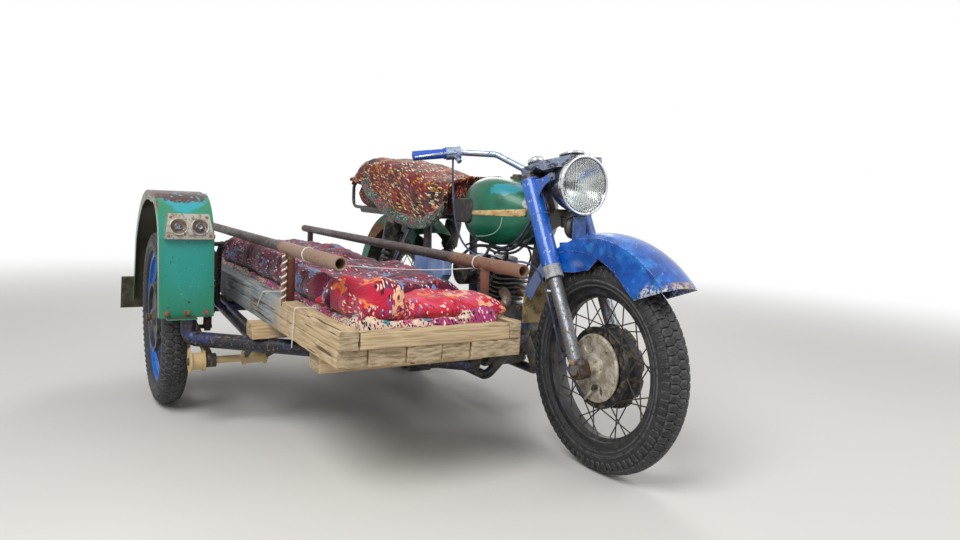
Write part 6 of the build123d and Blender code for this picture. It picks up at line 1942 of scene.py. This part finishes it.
@dataclass
class Rails:
    """The bed's two rails: an old pipe slid into a wider one at the front, on two posts each."""

    shop: Shop
    rails: tuple[Rail, ...] = (
        Rail("bed_rail_right", -820.0, 638.3, -500.0, 1318.0, 788.0, (-400.0, 888.0)),
        Rail("bed_rail_left", -334.5, 624.3, -525.0, 1424.0, 1022.0, (-430.0, 1223.0)),
    )
    pipe_r: float = 16.8
    sleeve_r: float = 18.8
    bore_r: float = 13.6
    post_r: float = 13.5
    foot_z: float = 481.0

    def build(self) -> None:
        """Make both rails in place of the plain ones, and what is tied to them."""
        for rail in self.rails:
            step, length = rail.sleeve - rail.rear, rail.front - rail.rear
            outline = [
                (self.bore_r, 0), (self.pipe_r - 0.8, 0), (self.pipe_r, 1.5), (self.pipe_r, step),
                (self.sleeve_r - 0.6, step), (self.sleeve_r, step + 1.2), (self.sleeve_r, length - 1.2),
                (self.sleeve_r - 0.8, length), (self.bore_r + 1.2, length), (self.bore_r, length - 2),
            ]
            start = self.shop.at(rail.rear, rail.y, rail.z)
            parts = [turned(rail.name, outline, start, Vector((1, 0, 0)), 32)]
            for x in rail.posts:
                high = rail.z - self.bore_r - self.foot_z
                post = [(0, 0), (self.post_r, 0), (self.post_r, high - 5), (self.post_r + 3, high - 1),
                        (self.post_r + 1, high + 2.5), (0, high + 2.5)]
                foot = self.shop.at(x, rail.y, self.foot_z)
                parts.append(turned("post", post, foot, Vector((0, 0, 1)), 20, closed=False))
            self.shop.place(f"{rail.name}_pipe", join_meshes(f"{rail.name}_pipe", parts), RAIL_RUST,
                            "chassis", "rusty_tube", [rail.name])
        self.add_string()
        self.add_ties()
        self.add_rebar()

    def add_string(self) -> None:
        """Tie the string across the bed, from rail to rail, with two turns round each."""
        right, left = self.rails
        points = [self.shop.at(1056, right.y + 15, 618), self.shop.at(1090, -700, 607),
                  self.shop.at(1138, -500, 599), self.shop.at(1176, left.y - 15, 606)]
        parts = [pipe("string", points, 1.4 * MM, 6, 8)]
        for x, rail, radius in ((1056, right, self.sleeve_r), (1176, left, self.sleeve_r)):
            for turn in range(2):
                ring = [(radius + 0.4, 0), (radius + 2.4, 0.2), (radius + 2.4, 2.4), (radius + 0.4, 2.6)]
                place = self.shop.at(x + 3 * turn, rail.y, rail.z)
                parts.append(turned("turn", ring, place, Vector((1, 0.1, 0)), 24))
        self.shop.place("bed_string", join_meshes("bed_string", parts), STRING, "chassis", "seat_cloth")

    def add_ties(self) -> None:
        """Lay the two strings that are tied over the right beam."""
        loops = (
            ((628, -853.4, 424), (648, -853.6, 442), (682, -853.6, 468), (706, -853.4, 484.4),
             (713, -826, 485.8), (717, -795, 484)),
            ((1026, -853.4, 366), (1036, -853.8, 408), (1046, -853.8, 448), (1053, -853.4, 484.6),
             (1056, -826, 486.2), (1058, -795, 484)),
        )
        parts = [pipe("tie", [self.shop.at(*point) for point in loop], 1.7 * MM, 6, 5) for loop in loops]
        self.shop.place("beam_ties", join_meshes("beam_ties", parts), STRING, "chassis", "seat_cloth")

    def add_rebar(self) -> None:
        """Stand the ribbed bar, wound with white tape, beside the right rail's front post."""
        foot, head = Vector((905, -846, 470)), Vector((899, -841, 628))
        run = head - foot
        bar = pipe("bar", [self.shop.at(*(foot + run * t)) for t in (0, 0.5, 1)], 5.6 * MM, 10, 4)
        turns, steps = 7, 12
        wound = []
        for step in range(turns * steps + 1):
            angle = math.tau * step / steps
            along = foot + run * (0.04 + 0.92 * step / (turns * steps))
            swing = Vector((math.cos(angle), math.sin(angle), 0)) * 6.2
            wound.append(self.shop.at(*(along + swing)))
        self.shop.place("ribbed_bar", bar, REBAR_STEEL, "chassis", "rusty_tube")
        self.shop.place("bar_tape", pipe("bar_tape", wound, 3.0 * MM, 6, 1), WHITE_TAPE, "chassis",
                        "seat_cloth")


@dataclass
class FrontGuard:
    """Front mudguard, its front edge cut back from the crown to the lip as on the real one."""

    shop: Shop
    lip: Point = (1582.0, 0.0, 558.0)
    crown: Point = (1686.0, 0.0, 596.0)

    def build(self) -> None:
        """Cut the front edge of the solid's surface and close it again."""
        data = self.shop.frame["nodes"]["front_mudguard"].data.copy()
        start = self.shop.at(*self.lip)
        run = self.shop.at(*self.crown) - start
        down = Vector((run.z, 0, -run.x)).normalized()
        near = start.x - 60 * MM
        with edited(data) as build:
            geom = [face for face in build.faces if face.calc_center_median().x > near]
            edges = {edge for face in geom for edge in face.edges}
            corners = {corner for face in geom for corner in face.verts}
            bmesh.ops.bisect_plane(build, geom=[*corners, *edges, *geom], plane_co=start, plane_no=down)
            away = [v for v in build.verts if v.co.x > near and (v.co - start).dot(down) > 1e-6]
            bmesh.ops.delete(build, geom=away, context="VERTS")
            cut = [v for v in build.verts if v.co.x > near and abs((v.co - start).dot(down)) < 1e-5]
            bmesh.ops.remove_doubles(build, verts=cut, dist=1e-5)
            left = {v for v in build.verts if v.co.x > near and abs((v.co - start).dot(down)) < 1e-5}
            rim = [edge for edge in build.edges if edge.is_boundary and left.issuperset(edge.verts)]
            bmesh.ops.holes_fill(build, edges=rim)
        self.shop.place("front_guard_sheet", data, GUARD_BLUE, "steering", "fork_paint", ["front_mudguard"])


@dataclass
class TankTrim:
    """Cream strips and thin pale lines on both flanks of the tank, laid on its surface."""

    shop: Shop
    strip: tuple[tuple[float, float, float], ...] = (
        (793, 756, 771), (866, 758, 774), (914, 759, 777), (951, 760, 780), (984, 761, 783),
        (1013, 761, 785), (1038, 762, 788),
    )
    line: Pairs = ((972, 756), (969, 732), (958, 712), (933, 696), (892, 686), (837, 682))

    def build(self) -> None:
        """Lay the strip and the line on each side."""
        for label, side in (("right", -1), ("left", 1)):
            rows = []
            for low, high in zip(self.strip, self.strip[1:]):
                for step in range(4):
                    mixed = [a + (b - a) * step / 4 for a, b in zip(low, high)]
                    rows.append(tuple(mixed))
            rows.append(self.strip[-1])
            tops, bottoms, uvs = [], [], []
            for x, low, high in rows:
                for step in range(6):
                    place, normal = self.shop.touch("fuel_tank",
                                                    (x, side * 260, low + (high - low) * step / 5),
                                                    (0, -side, 0))
                    rim = x in (rows[0][0], rows[-1][0]) or step in (0, 5)
                    tops.append(place + normal * (0.1 if rim else 0.9) * MM)
                    bottoms.append(place - normal * (0.1 if rim else 1.2) * MM)
                    uvs.append((x * MM, step * 0.004))
            data = two_skins(f"tank_strip_{label}", tops, bottoms, uvs, len(rows) - 1, 5)
            self.shop.place(f"tank_strip_{label}", data, CREAM_STRIP, "chassis", "tank_paint")
            flat = smooth_line([Vector((x, z, 0)) for x, z in self.line], 6)
            spots = [self.shop.touch("fuel_tank", (p.x, side * 260, p.y), (0, -side, 0)) for p in flat]
            thin = pipe("line", [place + normal * 0.2 * MM for place, normal in spots], 1.6 * MM, 6, 1)
            self.shop.place(f"tank_line_{label}", thin, PALE_LINE, "chassis", "tank_paint")


@dataclass
class SteeringTrim:
    """Instrument and damper knob on the nacelle, clamp sleeves and seams of the fork, lamp bolts."""

    shop: Shop

    def build(self) -> None:
        """Make the small pieces that turn with the fork."""
        up = Vector(fork_point(0, 0, 1)) - Vector(fork_point(0, 0, 0))
        knob = [(0, 0), (7, 0), (7, 70), (21, 72), (28, 78), (29.5, 86), (27, 95), (19, 102), (9, 105.5),
                (0, 106.5)]
        head = turned("damper_knob", knob, self.shop.at(*fork_point(0, 0, 664)), up, 32, closed=False)
        self.shop.place("damper_knob", head, RING_CHROME, "steering", "old_chrome")
        place, tilt = self.shop.at(1188, 0, 944), Vector((-0.19, 0, 0.982))
        case = [(0, 0), (37, 0), (38.5, 4), (38.5, 24), (35, 26), (0, 26)]
        rim = [(35.2, 23), (40.2, 23.5), (41.4, 26), (41.4, 30), (39.4, 32.5), (36.4, 32), (35.2, 29)]
        pane = [(35.6, 28), (30, 29.6), (18, 31.4), (0, 32.2), (0, 30.8), (18, 30), (30, 28.2),
                (35.4, 26.8)]
        for name, outline, finish, slot in (
            ("instrument_case", case, BLACK_PLASTIC, "black_plastic"),
            ("instrument_rim", rim, RING_CHROME, "old_chrome"),
            ("instrument_glass", pane, LAMP_GLASS, "glass"),
        ):
            self.shop.place(name, turned(name, outline, place, tilt, 48, closed=name != "instrument_case"),
                            finish, "steering", slot)
        sleeve = [(28.4, 0), (30.2, 0.4), (30.6, 2), (29.6, 4), (29.6, 36), (31, 38), (31, 41),
                  (28.4, 41.4)]
        seam = [(29.4, 0), (31.4, 0.5), (31.8, 2), (31.4, 3.5), (29.4, 4)]
        parts, seams = [], []
        for side in SIDES:
            parts.append(turned("sleeve", sleeve, self.shop.at(*fork_point(55, side * 90, 297)), up, 40))
            for height in (512, 636):
                seams.append(turned("seam", seam, self.shop.at(*fork_point(55, side * 90, height)), up, 40))
        self.shop.place("clamp_sleeves", join_meshes("clamp_sleeves", parts), COLLAR_PAINT, "steering",
                        "worn_alloy")
        self.shop.place("shroud_seams", join_meshes("shroud_seams", seams), FORK_BLUE, "steering",
                        "fork_paint")
        spots = [(self.shop.at(1213, side * 98.6, 897), Vector((0, side, 0))) for side in SIDES]
        self.shop.fasten("lamp_bolts", spots, fastener(Head.HEX, 24, 9), PLAIN_STEEL, "steering")


@dataclass
class SidecarTrim:
    """Rings and screws of the lamp plate and the bolts of the sidecar's guard."""

    shop: Shop
    middle: float = -1054.0

    def build(self) -> None:
        """Make the rings, cups, screws and bolts."""
        out = Vector((0.97, 0, 0.24))
        ring = [(24, 0.4), (25.5, 2.2), (28, 2.4), (29.5, 1), (29.5, -2), (24, -3)]
        cup = [(0, -8.5), (14, -8), (20, -6), (23.2, 0.2), (24.4, 0.4), (24.4, -11), (0, -12)]
        bulb_seat = [(0, -7.2), (5.5, -7.2), (6, -4.5), (9, -4), (13.5, -5.2), (14.5, -8.5), (0, -10)]
        rings, cups, seats = [], [], []
        for y in (self.middle - 28, self.middle + 38):
            place = self.shop.at(528.2, y, 681)
            rings.append(turned("ring", ring, place, out, 32))
            cups.append(turned("cup", cup, place, out, 32, closed=False))
            seats.append(turned("seat", bulb_seat, place, out, 24, closed=False))
        self.shop.place("lamp_plate_rings", join_meshes("lamp_plate_rings", rings), PLATE_ALLOY, "chassis",
                        "worn_alloy")
        self.shop.place("lamp_plate_cups", join_meshes("lamp_plate_cups", cups), EXHAUST_STEEL, "chassis",
                        "black_steel")
        self.shop.place("lamp_bulb_seats", join_meshes("lamp_bulb_seats", seats), LAMP_DARK, "chassis",
                        "black_steel")
        corners = [(self.middle - 60, 651), (self.middle + 70, 651), (self.middle - 52, 711),
                   (self.middle + 60, 711)]
        spots = [(self.shop.at(538 - (z - 640) * 0.249, y, z), out) for y, z in corners]
        self.shop.fasten("lamp_plate_screws", spots, fastener(Head.SCREW, 9, 3), RUSTY_BOLT, "chassis")
        bolts = (-1116, -1054, -992)
        spots = [self.shop.touch("sidecar_mudguard", (700, y, 392), (-1, 0, 0)) for y in bolts]
        self.shop.fasten("guard_bolts", spots, fastener(Head.HEX, 20, 8), RUSTY_BOLT, "chassis")


@dataclass
class Loom:
    """Hoses, leads and wires that run along the frame under the tank and over the engine."""

    shop: Shop
    runs: tuple[tuple[float, tuple[Point, ...]], ...] = (
        (6.0, ((1052, -44, 742), (1002, -62, 668), (930, -74, 640), (830, -80, 646), (730, -82, 636),
               (640, -72, 600))),
        (4.5, ((1046, -36, 700), (990, -66, 640), (900, -86, 628), (812, -74, 640), (776, -40, 634))),
        (4.0, ((1050, -50, 760), (1030, -84, 690), (960, -96, 652), (880, -98, 656), (800, -92, 668),
               (700, -96, 640))),
        (5.5, ((838, -70, 668), (846, -96, 620), (800, -104, 560), (740, -92, 540), (706, -56, 548))),
        (3.6, ((930, -40, 664), (938, -92, 600), (900, -112, 520), (850, -118, 452), (800, -128, 420))),
        (5.0, ((1050, 40, 740), (1000, 64, 668), (920, 76, 640), (820, 82, 646), (720, 80, 636),
               (640, 70, 600))),
        (4.0, ((838, 70, 668), (850, 98, 610), (800, 104, 552), (742, 92, 536), (706, 56, 548))),
    )

    def build(self) -> None:
        """Run every hose, lead and wire."""
        parts = [pipe("run", [self.shop.at(*point) for point in points], radius * MM, 8, 6)
                 for radius, points in self.runs]
        self.shop.place("wiring_loom", join_meshes("wiring_loom", parts), CABLE_BLACK, "chassis", "rubber")


@dataclass(frozen=True)
class Fold:
    """One roll or fold of a quilt: a line in the drawing's plan, its height and its half width."""

    start: tuple[float, float]
    end: tuple[float, float]
    high: float
    half: float

    def lift(self, x: float, y: float) -> float:
        """Give how far the fold raises the cloth at a place of the plan.

        Args:
            x: Forward place in the plan.
            y: Sideways place in the plan.

        Returns:
            Height added there, in millimetres.
        """
        run = (self.end[0] - self.start[0], self.end[1] - self.start[1])
        share = ((x - self.start[0]) * run[0] + (y - self.start[1]) * run[1]) / (run[0] ** 2 + run[1] ** 2)
        share = max(0.0, min(1.0, share))
        apart = math.hypot(x - self.start[0] - run[0] * share,
                           y - self.start[1] - run[1] * share) / self.half
        return self.high * max(0.0, 1.0 - apart**2) ** 1.4


@dataclass(frozen=True)
class Quilt:
    """One wadded quilt: the corners of its plan, its underside, thickness, folds and creases."""

    name: str
    corners: Pairs
    low: float
    thick: float
    finish: FloralPrint
    slot: str
    folds: tuple[Fold, ...] = ()
    replaces: tuple[str, ...] = ()
    wobble: float = 12.0
    crease: float = 9.0
    edge: float = 36.0
    rise_back: float = 0.0
    fill: float = 0.5
    seed: float = 0.0
    cell: float = 10.0


@dataclass
class Bedding:
    """Quilts on the bed and the cushion and folded blanket on the seat."""

    shop: Shop
    cloth_reach: float = 12.0
    wadding: float = 13.0
    cloth_frames: int = 12
    blanket_ends: tuple[float, float] = (-343.0, 668.0)
    blanket_back: Pairs = (
        (-343, 898), (-316, 948), (-262, 984), (-180, 990), (-60, 984), (126, 962), (287, 932),
        (400, 906), (500, 893), (668, 882),
    )
    blanket_hem: Pairs = (
        (-343, 872), (-217, 850), (-88, 789), (66, 735), (228, 699), (375, 684), (470, 690),
        (560, 716), (645, 760), (668, 800),
    )

    def quilts(self) -> tuple[Quilt, ...]:
        """Give every quilt from the lowest to the highest.

        Returns:
            The quilts, in the order in which they are sewn.
        """
        return (
            Quilt(
                "bed_underlay", ((1363, -793), (1363, -356), (-455, -356), (-455, -793)), 434, 60,
                CREAM_PRINT, "quilt_pink",
                folds=(Fold((1330, -760), (1250, -690), 22, 60), Fold((1345, -440), (1335, -375), 24, 44),
                       Fold((1352, -700), (1352, -480), 8, 24)),
                replaces=("quilt_lower",), wobble=0, crease=7, edge=22, seed=3.0,
            ),
            Quilt(
                "maroon_quilt", ((1165, -797), (1195, -358), (-395, -350), (-395, -790)), 493, 52,
                MAROON_PRINT, "quilt_maroon",
                folds=(Fold((1000, -800), (-200, -740), 22, 80), Fold((1020, -470), (700, -380), 14, 90),
                       Fold((760, -640), (300, -600), 20, 120), Fold((420, -480), (100, -380), 16, 90)),
                replaces=("quilt_upper",), wobble=17, crease=10, rise_back=20, seed=1.0,
            ),
            Quilt(
                "red_quilt", ((1356, -690), (1342, -324), (1110, -392), (1010, -792)), 489, 31,
                RED_PRINT, "quilt_maroon",
                folds=(Fold((1240, -420), (1290, -345), 14, 70), Fold((1170, -520), (1120, -380), 12, 50),
                       Fold((1300, -620), (1290, -470), 9, 40)),
                wobble=11, crease=8, seed=6.0,
            ),
            Quilt(
                "rolled_corner", ((1356, -790), (1350, -632), (1150, -590), (1090, -796)), 492, 36,
                ROSE_PRINT, "quilt_maroon",
                folds=(Fold((1135, -780), (1310, -655), 52, 66), Fold((1300, -775), (1230, -790), 10, 34)),
                wobble=12, crease=11, edge=40, seed=8.0,
            ),
            Quilt(
                "seat_cushion", ((655, -132), (655, 132), (-346, 132), (-346, -132)), 756, 112,
                SEAT_PRINT, "seat_cloth", replaces=("seat",), wobble=3, crease=3, edge=44, fill=0.9,
                seed=11.0, cell=14.0,
            ),
        )

    def build(self) -> None:
        """Make the soft pieces."""
        for quilt in self.quilts():
            data = self.sew(quilt)
            piece = self.shop.place(quilt.name, data, quilt.finish, "chassis", quilt.slot, quilt.replaces)
            self.swell(piece, 4.0 if quilt.fill > 0.8 else 3.0)
        self.shop.dress(SEAT_PRINT, "seat")
        self.shop.dress(MAROON_PRINT, "quilt_upper")
        self.shop.dress(CREAM_PRINT, "quilt_lower")
        self.shop.dress(BLANKET_PRINT, "seat_blanket")
        self.add_blanket()

    def sew(self, quilt: Quilt) -> Mesh:
        """Make one quilt as two skins that meet at a rounded, wandering edge.

        Args:
            quilt: Its plan, folds and cloth.

        Returns:
            Closed mesh with the UV map "flat".
        """
        corners = [Vector(c) for c in quilt.corners]
        length = ((corners[3] - corners[0]).length + (corners[2] - corners[1]).length) / 2
        width = ((corners[1] - corners[0]).length + (corners[2] - corners[3]).length) / 2
        rows, columns = max(8, round(length / quilt.cell)), max(8, round(width / quilt.cell))
        tops: list[Vector] = []
        bottoms: list[Vector] = []
        uvs = []
        for row in range(rows + 1):
            for column in range(columns + 1):
                s, t = row / rows, column / columns
                front, rear = corners[0].lerp(corners[1], t), corners[3].lerp(corners[2], t)
                plan = front.lerp(rear, s)
                near = min(s, 1 - s) * length, min(t, 1 - t) * width
                seed = Vector((0.0, 0.0, quilt.seed * 13.7))
                hold = max(0.0, 1.0 - min(near) / 90.0)
                stray = noise.noise_vector(Vector((plan.x, plan.y, 0)) * 0.012 + seed)
                wander = stray * quilt.wobble * (0.3 + hold)
                x, y = plan.x + wander.x, plan.y + wander.y
                inner = min(1.0, min(near) / quilt.edge)
                swell = math.sqrt(max(0.0, 1.0 - (1.0 - inner) ** 2))
                warp = noise.noise_vector(Vector((x, y, 0)) * 0.009 + seed) * 26.0
                place = Vector((x + warp.x, y + warp.y, 0))
                puff = abs(noise.noise(place * 0.011 + seed)) * 1.6
                puff += abs(noise.noise(Vector((place.x * 0.02, place.y * 0.034, 5.0)) + seed)) * 0.7
                puff += abs(noise.noise(Vector((place.x * 0.05, place.y * 0.042, 9.0)) + seed)) * 0.28
                lift = sum(fold.lift(x, y) for fold in quilt.folds) + quilt.crease * (puff - 0.35)
                lift += quilt.rise_back * min(1.0, s * 1.6)
                middle = quilt.low + quilt.thick / 2 + noise.noise(place * 0.01 + seed) * 3.0 * hold
                tops.append(self.shop.at(x, y, middle + (quilt.thick / 2 + lift) * swell))
                bottoms.append(self.shop.at(x, y, middle - quilt.thick / 2 * swell))
                drop = (1.0 - swell) * (quilt.thick / 2 + 12.0)
                down_side = near[1] <= near[0]
                run = s * length + (0.0 if down_side else math.copysign(drop, s - 0.5))
                wide = t * width + (math.copysign(drop, t - 0.5) if down_side else 0.0)
                uvs.append(((run + quilt.seed * 90) * MM, (wide + quilt.seed * 40) * MM))
        return two_skins(quilt.name, tops, bottoms, uvs, rows, columns)

    def swell(self, piece: Object, pressure: float) -> None:
        """Blow the sewn cloth up a little in a short cloth simulation and smooth the result.

        Args:
            piece: Closed quilt.
            pressure: Pressure inside it.
        """
        before = [v.co.copy() for v in piece.data.vertices]
        scene = bpy.context.scene
        cloth = piece.modifiers.new("cloth", "CLOTH")
        cloth.settings.use_pressure = True
        cloth.settings.uniform_pressure_force = pressure
        cloth.settings.effector_weights.gravity = 0.0
        cloth.settings.tension_stiffness = 8.0
        cloth.settings.bending_stiffness = 0.4
        cloth.settings.quality = 3
        cloth.collision_settings.use_collision = False
        cloth.point_cache.frame_start = 1
        cloth.point_cache.frame_end = self.cloth_frames
        for frame in range(1, self.cloth_frames + 1):
            scene.frame_set(frame)
        graph = bpy.context.evaluated_depsgraph_get()
        blown = piece.evaluated_get(graph).to_mesh()
        after = [v.co.copy() for v in blown.vertices]
        piece.evaluated_get(graph).to_mesh_clear()
        piece.modifiers.remove(cloth)
        scene.frame_set(1)
        reach = self.cloth_reach * MM
        for vertex, old, new in zip(piece.data.vertices, before, after):
            move = new - old
            if move.length > reach:
                move *= reach / move.length
            vertex.co = old + move
        subdivide(piece, 1)

    def blanket_section(self, x: float, hem: float) -> list[tuple[float, float]]:
        """Give the blanket's section from the left hem over its back to the right hem, as Y and Z.

        Args:
            x: Place along the seat.
            hem: Height of the right hem there.

        Returns:
            Corners of the section.
        """
        top = eased(self.blanket_back, x)
        front = max(0.0, min(1.0, (x - 380) / 200))
        left_low = 872 - 6 * front
        return [
            (158, left_low), (166 - 22 * front, 0.5 * (left_low + top) - 4), (150 - 20 * front, top - 26),
            (118, top - 8), (60, top), (0, top - 3), (-60, top - 1), (-112, top - 10), (-142, top - 30),
            (-158, top - 62), (-161, max(hem + 20, 0.5 * (top - 62 + hem))), (-158, hem),
        ]

    def add_blanket(self) -> None:
        """Lay the folded blanket over the seat and sew the flowered border to its hem."""
        columns, rows = 96, 100
        low, high = self.blanket_ends
        points: list[Vector] = []
        uvs = []
        hems = []
        for row in range(rows + 1):
            x = low + (high - low) * row / rows
            hem = eased(self.blanket_hem, x)
            section = self.blanket_section(x, hem)
            line = smooth_line([Vector((y, z, 0)) for y, z in section], 12)
            lengths = [0.0]
            for a, b in zip(line, line[1:]):
                lengths.append(lengths[-1] + (b - a).length)
            for column in range(columns + 1):
                want = lengths[-1] * column / columns
                index = max(k for k, reach in enumerate(lengths) if reach <= want + 1e-6)
                index = min(index, len(line) - 2)
                share = (want - lengths[index]) / max(lengths[index + 1] - lengths[index], 1e-6)
                place = line[index].lerp(line[index + 1], share)
                along = (line[index + 1] - line[index]).normalized()
                out = Vector((along.y, -along.x, 0))
                seed = Vector((x * 0.008, want * 0.012, 2.0))
                wave = noise.noise(seed) * 9.0 + abs(noise.noise(seed * 2.7)) * 7.0
                wave += noise.noise(seed * 7.0) * 1.6
                hang = max(0.0, (want - lengths[-1] * 0.62) / (lengths[-1] * 0.38))
                sway = 0.6 + noise.noise(Vector((x * 0.01, 0, 7)))
                wave += hang * 7.0 * math.sin(x * 0.031 + 1.0) * sway
                end = min(row, rows - row) / 5.0
                tuck = (1.0 - min(1.0, end)) ** 2 * 16.0
                y = place.x - out.x * (wave * 0.8 - tuck)
                z = place.y - out.y * (wave * 0.8 - tuck)
                if column == columns:
                    hems.append(Vector((x, y, z)))
                points.append(self.shop.at(x, y, z))
                uvs.append(((x + 400) * MM, want * MM))
        inner = self.inner_skin(points, rows, columns)
        data = two_skins("folded_blanket", points, inner, uvs, rows, columns)
        piece = self.shop.place("folded_blanket", data, BLANKET_PRINT, "chassis", "quilt_maroon",
                                ["seat_blanket"])
        subdivide(piece, 1)
        self.add_border(hems)

    def inner_skin(self, points: list[Vector], rows: int, columns: int) -> list[Vector]:
        """Give the blanket's underside: a wadded thickness in from each point, none at its rim.

        Args:
            points: Outer skin, row by row.
            rows: Cells along the seat.
            columns: Cells round the section.

        Returns:
            Inner skin in the same order.
        """
        wide = columns + 1
        inner = []
        for row in range(rows + 1):
            for column in range(wide):
                here = row * wide + column
                ahead = points[min(row + 1, rows) * wide + column] - points[max(row - 1, 0) * wide + column]
                right, left = min(column + 1, columns), max(column - 1, 0)
                beside = points[row * wide + right] - points[row * wide + left]
                out = ahead.cross(beside).normalized()
                if out.dot(points[here] - self.shop.at(160, 0, 800)) < 0:
                    out = -out
                rim = min(row, rows - row, column, columns - column) / 2.0
                share = math.sqrt(max(0.0, 1.0 - (1.0 - min(1.0, rim)) ** 2))
                inner.append(points[here] - out * self.wadding * MM * share)
        return inner

    def add_border(self, hems: list[Vector]) -> None:
        """Sew a flat wadded border along the right hem, its lower edge rolled outwards.

        Args:
            hems: Points of the right hem, from the rear.
        """
        rings = [point for index, point in enumerate(hems) if index % 3 == 0 and point.x > -250]
        corners: list[Vector] = []
        uvs = []
        sides = 16
        run = 0.0
        for index, point in enumerate(rings):
            before = rings[max(index - 1, 0)]
            after = rings[min(index + 1, len(rings) - 1)]
            run += (point - before).length
            along = (after - before).normalized()
            up = Vector((0, 0, 1)) - along * along.z
            up.normalize()
            out = along.cross(up)
            if out.y > 0:
                out = -out
            wave = noise.noise(Vector((index * 0.35, 0, 0)))
            tall = 24 + 4 * wave
            deep = 11 + 5 * noise.noise(Vector((index * 0.5, 3, 0)))
            taper = min(1.0, index / 2 + 0.3, (len(rings) - 1 - index) / 2 + 0.3)
            middle = point + up * 17 + out * (7 + 4 * wave)
            for side in range(sides):
                turn = math.tau * side / sides
                place = middle + (up * math.sin(turn) * tall + out * math.cos(turn) * deep) * taper
                corners.append(self.shop.at(*place))
                uvs.append((run * MM, (side * 7.5) * MM))
        data = make_mesh("blanket_border", corners, tube_faces(len(rings), sides), uvs)
        piece = self.shop.place("blanket_border", data, BORDER_PRINT, "chassis", "quilt_maroon")
        subdivide(piece, 2)


def main() -> None:
    """Build the looks, piece by piece."""
    noise.seed_set(NOISE_SEED)
    shop = Shop()
    Studio(shop).build()
    BrakeCable(shop).build()
    Dresser(shop).build()
    Tyres(shop).build()
    Headlamp(shop).build()
    FrontGuard(shop).build()
    SteeringTrim(shop).build()
    TankTrim(shop).build()
    SidecarTrim(shop).build()
    Loom(shop).build()
    LoadBed(shop).build()
    Rails(shop).build()
    Bedding(shop).build()


if __name__ == "__main__":
    main()
